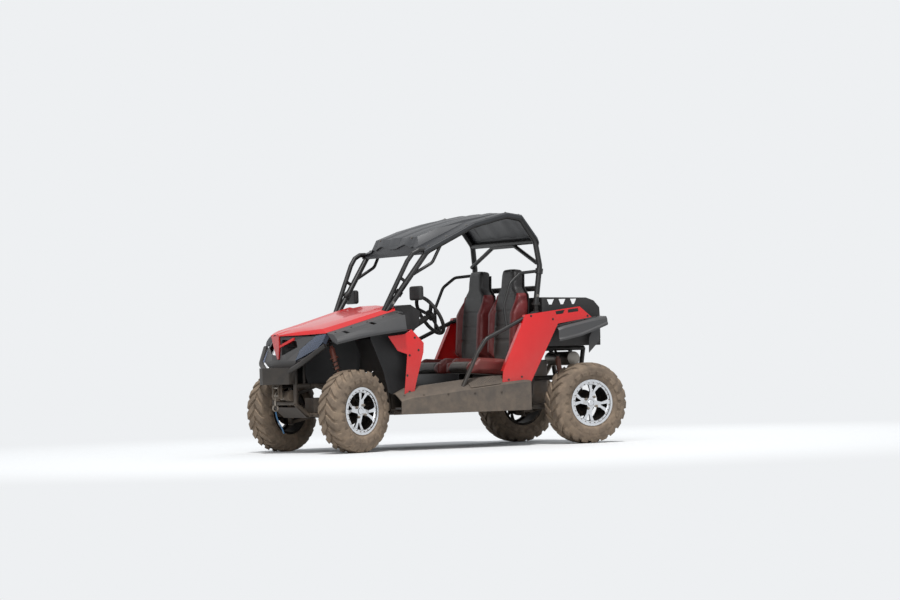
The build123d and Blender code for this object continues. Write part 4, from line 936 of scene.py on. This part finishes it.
def channel(face, distance, outward):
    """Whether a face of a seat's middle lies on a channel, given its distance and its look."""
    return abs(distance) < seam_half and from_middle(face) < bolster_edge and outward > 0.5


back, cushion = swollen("seat_backs"), swollen("seat_cushions")
sink(back, lambda face: side_seam(face) and face.normal.x > 0.1 and face.center.z < 1.24, 0.005)
sink(cushion, lambda face: side_seam(face) and face.normal.z > 0.3, 0.005)
for height in (0.86, 0.98, 1.10, 1.225):
    sink(back, lambda face: channel(face, face.center.z - height, face.normal.x), 0.004)
for x in (-0.25, -0.36, -0.47):
    sink(cushion, lambda face: channel(face, face.center.x - x, face.normal.z), 0.004)
for pad, node in ((back, "seat_backs"), (cushion, "seat_cushions")):
    modify(pad, "SUBSURF", levels=1, render_levels=1)
    finish(pad, node + "_padded", "seat_vinyl", smooth=80)
    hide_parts(node)


# Lamps: clear lenses over dark bowls with two projectors each

# Three corners of the left lamp's front
lamp_foot, lamp_brow, lamp_end = at(1277, 330, 742), at(1117, 420, 932), at(1083, 515, 950)
lamp_long = (lamp_end - lamp_foot).normalized()
lamp_out = lamp_long.cross(lamp_brow - lamp_foot).normalized()
# Radius nearly at the axis, where a turned profile closes
axis_edge = 0.0002


def lamp_part(test):
    """The faces of the lamps' CAD node that pass a test, as a piece of their own."""
    piece = node_copy("lamps")
    grab(piece, lambda face: not test(face), "FACE")
    bpy.ops.mesh.delete(type="FACE")
    close()
    return piece


def on_front(face):
    """How nearly a face looks the way that the front of its lamp does, 1 at most."""
    if face.center.x < 0:
        return -face.normal.x
    outward = Vector((lamp_out.x, copysign(lamp_out.y, face.center.y), lamp_out.z))
    return face.normal.dot(outward)


lenses = lamp_part(lambda face: on_front(face) > 0.9)
bowls = lamp_part(lambda face: on_front(face) < 0.9)
modify(lenses, "SOLIDIFY", thickness=0.003, offset=-1)
rounded(lenses, 0.001, 2, 40)
modify(bowls, "SOLIDIFY", thickness=0.0025, offset=-1)
finish(lenses, "lamp_lenses", "lens")
finish(bowls, "lamp_bowls", "black_plastic")
dress(bowls, bowl_metal)
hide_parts("lamps")
projector_shell = [(axis_edge, -0.036), (0.022, -0.036), (0.026, -0.020), (0.027, -0.010)]
projector_glass = [(0.022, -0.016), (0.019, -0.014), (0.012, -0.009), (axis_edge, -0.007)]
projector_profile = projector_shell + [(0.025, -0.009)] + projector_glass
lamp_middle = at(1178, 418, 848)
lamp_middle -= lamp_out * (lamp_middle - lamp_foot).dot(lamp_out)
stand = lamp_out.to_track_quat("Y", "Z").to_matrix().to_4x4()
projectors = []
for along in (-0.062, 0.052):
    made = spun(projector_profile, 40)
    moved(made, Matrix.Translation(lamp_middle + lamp_long * along) @ stand)
    projectors += [made, copied(made, flip_y)]
finish(joined(projectors), "lamp_projectors", "steel", smooth=50)


# Coil-over dampers, with round wire in place of the faceted coil

spring_turns = 6
wire_radius, coil_radius = 0.0047, 0.0275


def damper(top, foot):
    """Body, rod, seats and eyes turned round one axis, and a spring screwed up from a circle."""
    length = (top - foot).length
    low, high = length * 0.16, length * 0.72
    wall, seat = 0.008, 0.035
    eye = [(axis_edge, -0.004), (0.010, -0.004), (0.014, 0), (0.014, low - wall - 0.004)]
    lower_seat = [(seat - 0.003, low - wall), (seat, low - wall + 0.003), (seat, low)]
    shaft = [(seat - 0.004, low + 0.001), (0.010, low + 0.001), (0.010, length * 0.45)]
    tube = [(0.017, length * 0.45), (0.019, length * 0.45 + 0.003), (0.019, high - 0.001)]
    upper_seat = [(seat, high - 0.001), (seat, high + wall - 0.002), (seat - 0.002, high + wall)]
    cap = [(0.022, high + wall), (0.022, length * 0.95), (0.018, length * 0.96)]
    top_eye = [(0.014, length * 0.965), (0.014, length), (axis_edge, length)]
    body = spun(eye + lower_seat + shaft + tube + upper_seat + cap + top_eye, 32)
    place, turn = (coil_radius, 0, 0), (pi / 2, 0, 0)
    coil = baked(placed(add_circle, vertices=12, radius=wire_radius, location=place, rotation=turn))
    pitch = (high - low - 2 * wire_radius) / spring_turns
    screw = {"axis": "Z", "steps": 28, "render_steps": 28, "screw_offset": pitch}
    modify(coil, "SCREW", iterations=spring_turns, use_merge_vertices=False, **screw)
    edit_all(coil, "EDGE")
    bpy.ops.mesh.select_non_manifold()
    bpy.ops.mesh.fill_holes(sides=20)
    turned_outward(coil)
    stand = Matrix.Translation(foot) @ (top - foot).to_track_quat("Z", "Y").to_matrix().to_4x4()
    moved(body, stand @ Matrix.Rotation(pi / 2, 4, "X"))
    moved(coil, stand @ Matrix.Translation((0, 0, low + wire_radius)))
    return body, coil


bodies, coils = [], []
for top, foot in (((975, 362, 850), (925, 455, 500)), ((-1075, 338, 715), (-1105, 400, 290))):
    for side in both_sides:
        body, coil = damper(at_side(side, *top), at_side(side, *foot))
        bodies.append(body)
        coils.append(coil)
struts = finish(joined(bodies), "damper_bodies", "damper_paint", smooth=40)
finish(joined(coils), "damper_springs", "frame_tube", smooth=60)
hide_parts("dampers")


# Radiator with its louvres behind the nostrils, standing on the upper rails

core = block((1140, -228, 700), (1168, 228, 905))
raised(core, (1, 0, 0), 0.012, -0.008)
legs = twin_blocks((1146, 1162), 215, 9, (556, 702))
for piece in (core, *legs):
    rounded(piece, 0.002)
slat = rounded(leaned(block((1176, -215, 720), (1180, 215, 738)), 0.73, -0.010), 0.001)
louvres = repeated(slat, [(0, 0, 0.0165 * index) for index in range(11)])
stiles = twin_blocks((1160, 1181), 212, 5, (712, 912))
finish(joined([core, *legs]), "radiator", "frame_tube")
finish(joined([*louvres, *stiles]), "radiator_louvres", "black_plastic")


# Inner liners of the front arches, and kick panels beside the foot well

def pressed_plates(name, outline, y, margin, sunk):
    """A thin moulded plate on each side, with a pressed field inside its rim."""
    plates = []
    for side in both_sides:
        plate = flat_face([(x, side * y, z) for x, z in outline])
        edit_all(plate)
        bpy.ops.mesh.inset(thickness=margin)
        bpy.ops.transform.translate(value=(0, -side * sunk, 0))
        close()
        plates.append(thickened(plate, 0.003))
    # The plates take the darker black that stands in for the shade behind them: painted shade
    dress(finish(joined(plates), name, "black_plastic"), painted_shade_black)


liner = [(1128, 557), (1150, 640), (1130, 930), (900, 985), (690, 1040), (640, 900), (690, 557)]
pressed_plates("front_arch_liners", liner, 234, 0.03, 0.012)
kick_panel = [
    (396, 455), (500, 430), (575, 470), (614, 640), (720, 905), (706, 990),
    (600, 1000), (405, 968), (300, 852), (305, 783), (378, 536),
]
pressed_plates("kick_panels", kick_panel, 558, 0.025, 0.008)


# Screws and bolts, each set on the surface that a straight line from outside meets

inward, down = (0, -1, 0), (0, 0, -1)
# Where those lines start, in millimetres from the middle or from the ground
beside, over_fenders, over_pads, over_roof = 900, 1300, 700, 2100


def bolt(radius, height, sides):
    """A bolt head on its washer, along Z from the surface up."""
    disc = radius * 1.55
    washer = placed(add_cylinder, vertices=16, radius=disc, depth=0.0016, location=(0, 0, 0.0006))
    middle = (0, 0, height / 2)
    head = placed(add_cylinder, vertices=sides, radius=radius, depth=height, location=middle)
    raised(head, (0, 0, 1), radius * 0.25, radius * 0.12)
    return joined([baked(washer), baked(head)])


def on_surface(target, start, toward):
    """The place and turn of a bolt where a line from a start first meets a piece."""
    start, toward = at(*start), Vector(toward).normalized()
    hit, place, normal, _ = target.ray_cast(start, toward)
    if not hit:
        raise ValueError(f"no surface of {target.name} under the bolt at {tuple(start)}")
    if normal.dot(toward) > 0:
        normal = -normal
    return Matrix.Translation(place) @ normal.to_track_quat("Z", "Y").to_matrix().to_4x4()


def bolted(name, slot, radius, height, spots, sides=6):
    """One bolt, copied to each (piece, start, direction) and its mirror image."""
    master = bolt(radius, height, sides)
    places = []
    for target, (x, y, z), (dx, dy, dz) in spots:
        for side in both_sides:
            places.append(on_surface(target, (x, side * y, z), (dx, side * dy, dz)))
    finish(joined(repeated(master, places)), name, slot, smooth=40)


def from_above(target, y, height, *lengthwise):
    """Lines down onto a piece, at places along the vehicle."""
    return [(target, (x, y, height), down) for x in lengthwise]


def from_beside(target, *spots):
    """Lines inward onto a piece, at (x, z) places."""
    return [(target, (x, beside, z), inward) for x, z in spots]


front, rear = moulded["front_side_panels"], moulded["rear_side_panels"]
roof, sills = moulded["roof_panel"], moulded["sills"]
fender_screws = [
    *from_above(moulded["front_fenders"], 600, over_fenders, 1040, 900, 760, 620, 500),
    *from_above(moulded["rear_fenders"], 640, over_fenders, -940, -1060, -1180, -1290),
]
panel_screws = [
    *from_beside(front, (430, 470), (445, 600), (420, 760), (370, 900), (340, 800)),
    *from_beside(rear, (-440, 540), (-560, 560), (-660, 1050), (-860, 1020), (-1180, 1040)),
]
roof_screws = [
    *from_above(roof, 560, over_roof, 180, 20, -160, -340, -520, -640),
    *from_above(roof, 300, over_roof, 205, -640),
]
sill_screws = from_beside(sills, *[(x, 440) for x in (480, 330, 120, -120, -360)])
foot_bolts = from_beside(nodes["cage"], (486, 1185), (-766, 1215))
bolted("fender_screws", "frame_tube", 0.006, 0.004, fender_screws, 12)
bolted("panel_screws", "frame_tube", 0.006, 0.004, panel_screws, 12)
bolted("roof_screws", "steel", 0.007, 0.005, roof_screws)
bolted("sill_screws", "frame_tube", 0.006, 0.004, sill_screws, 12)
bolted("cage_bolts", "steel", 0.008, 0.007, foot_bolts)


# Turned and cast pieces with softer edges

softened = {"steering_wheel": 0.002, "muffler": 0.003, "engine": 0.012, "winch": 0.0015}
for name, width in softened.items():
    shaped(name, width, 28)


# Fairlead rollers of bright steel over their cores, with a flange at each end

roller_offset = 32
flange = [(0.0096, 0.052), (0.0122, 0.0535), (0.0122, 0.057), (0.0092, 0.057)]
roller = spun([(radius, -y) for radius, y in reversed(flange)] + flange, 28)
spots = [at(1302, 0, rope_height + way * roller_offset) for way in (1, -1)]
rollers = repeated(roller, spots)
finish(joined(rollers), "fairlead_rollers", "steel", smooth=40)


# Layers of rope wound on the winch drum between its cheeks, with a gap where the rope leaves

wrap_reach, wrap_radius, wrap_pitch = 0.0335, 0.0035, 7.5
turns = [2 * pi * index / 8 for index in range(8)]
wrap_profile = [(wrap_reach + wrap_radius * cos(turn), wrap_radius * sin(turn)) for turn in turns]
spots = [at(winch_x, wrap_pitch * index, drum_height) for index in range(-7, 8) if index]
finish(joined(repeated(spun(wrap_profile, 28), spots)), "drum_rope_wraps", "steel", smooth=60)


# Grip studs on the step pads, few-sided because there are many

add_cone, middle = bpy.ops.mesh.primitive_cone_add, (0, 0, 0.0011)
stud = placed(add_cone, vertices=6, radius1=0.0045, radius2=0.0028, depth=0.0028, location=middle)
spots = []
for row in range(13):
    for column in range(4):
        for side in both_sides:
            spot = (-112 - 18 * row, side * (600 + 22 * column + 11 * (row % 2)), over_pads)
            spots.append(on_surface(sills, spot, down))
finish(joined(repeated(baked(stud), spots)), "step_pad_studs", "sill_plastic", smooth=20)


# Low ribs along the floor of the cargo bed, clear of its bolt holes

rib = rounded(block((-1350, -6, 805), (-870, 6, 809)), 0.0015)
ribs = repeated(rib, [(0, 0.09 * index, 0) for index in range(-5, 6) if abs(index) != 4])
finish(joined(ribs), "bed_floor_ribs", "black_plastic")


# Mirrors: soft housings in place of the CAD's square heads, with their glass

mirror_y = 622
mirrors = shaped("side_mirrors", 0, 28)


def in_head(vertex):
    """Whether a vertex of the mirrors belongs to a head, not to its arm."""
    y, off = abs(vertex.co.y), abs(vertex.co.z - 1.255)
    return y > 0.5225 or (y > 0.5215 and off > 0.03)


grab(mirrors, in_head)
bpy.ops.mesh.delete(type="VERT")
close()
heads = twin_blocks((309, 353), mirror_y, 100, (1198, 1312))
for head in heads:
    dress(rounded(head, 0.0195, 5), black_pp)
pick(joined([mirrors, *heads]))
bpy.ops.object.shade_smooth_by_angle(angle=radians(38))
glasses = twin_blocks((307.5, 309.5), mirror_y, 82, (1214, 1296))
for glass in glasses:
    rounded(glass, 0.0008)
dress(finish(joined(glasses), "mirror_glass", "steel"), silvered_glass)


# Plates that close the view: under the front edge of the seats, along the foot of the bed's
# rear wall, and under the front lip of the roof before the cage's cross tube

seat_base = rounded(block((-84, -500, 315), (-80, 500, 600)), 0.001)
# Painted shade: the darker black stands in for the shade under the front of the seats
dress(finish(seat_base, "seat_base_panel", "black_plastic"), painted_shade_black)
tail_plate = leaned(block((-1379, -452, 801), (-1374, 452, 852)), 0.83, -0.031)
finish(rounded(tail_plate, 0.001), "bed_tail_plate", "black_plastic")
half_edge = [(560, 1566), (560, 1596), (410, 1612), (390, 1662)]
edge = half_edge + [(-y, z) for y, z in reversed(half_edge)]
valance = thickened(flat_face([(228, y, z) for y, z in edge]), 0.001)
finish(valance, "roof_valance", "roof_plastic")


# Second tube of each front pillar, tied to the first by a short strut

second_tube = [
    (555, 473, 1122), (368, 545, 1515), (325, 557, 1575), (275, 565, 1602), (222, 571, 1604),
]
strut = [(372, 521, 1349), (428, 521, 1388)]
braces = []
for side in both_sides:
    for route, width in ((second_tube, 0.038), (strut, 0.026)):
        braces.append(rod([at_side(side, *point) for point in route], width / 2))
finish(joined(braces), "pillar_braces", "black_tube", smooth=50)
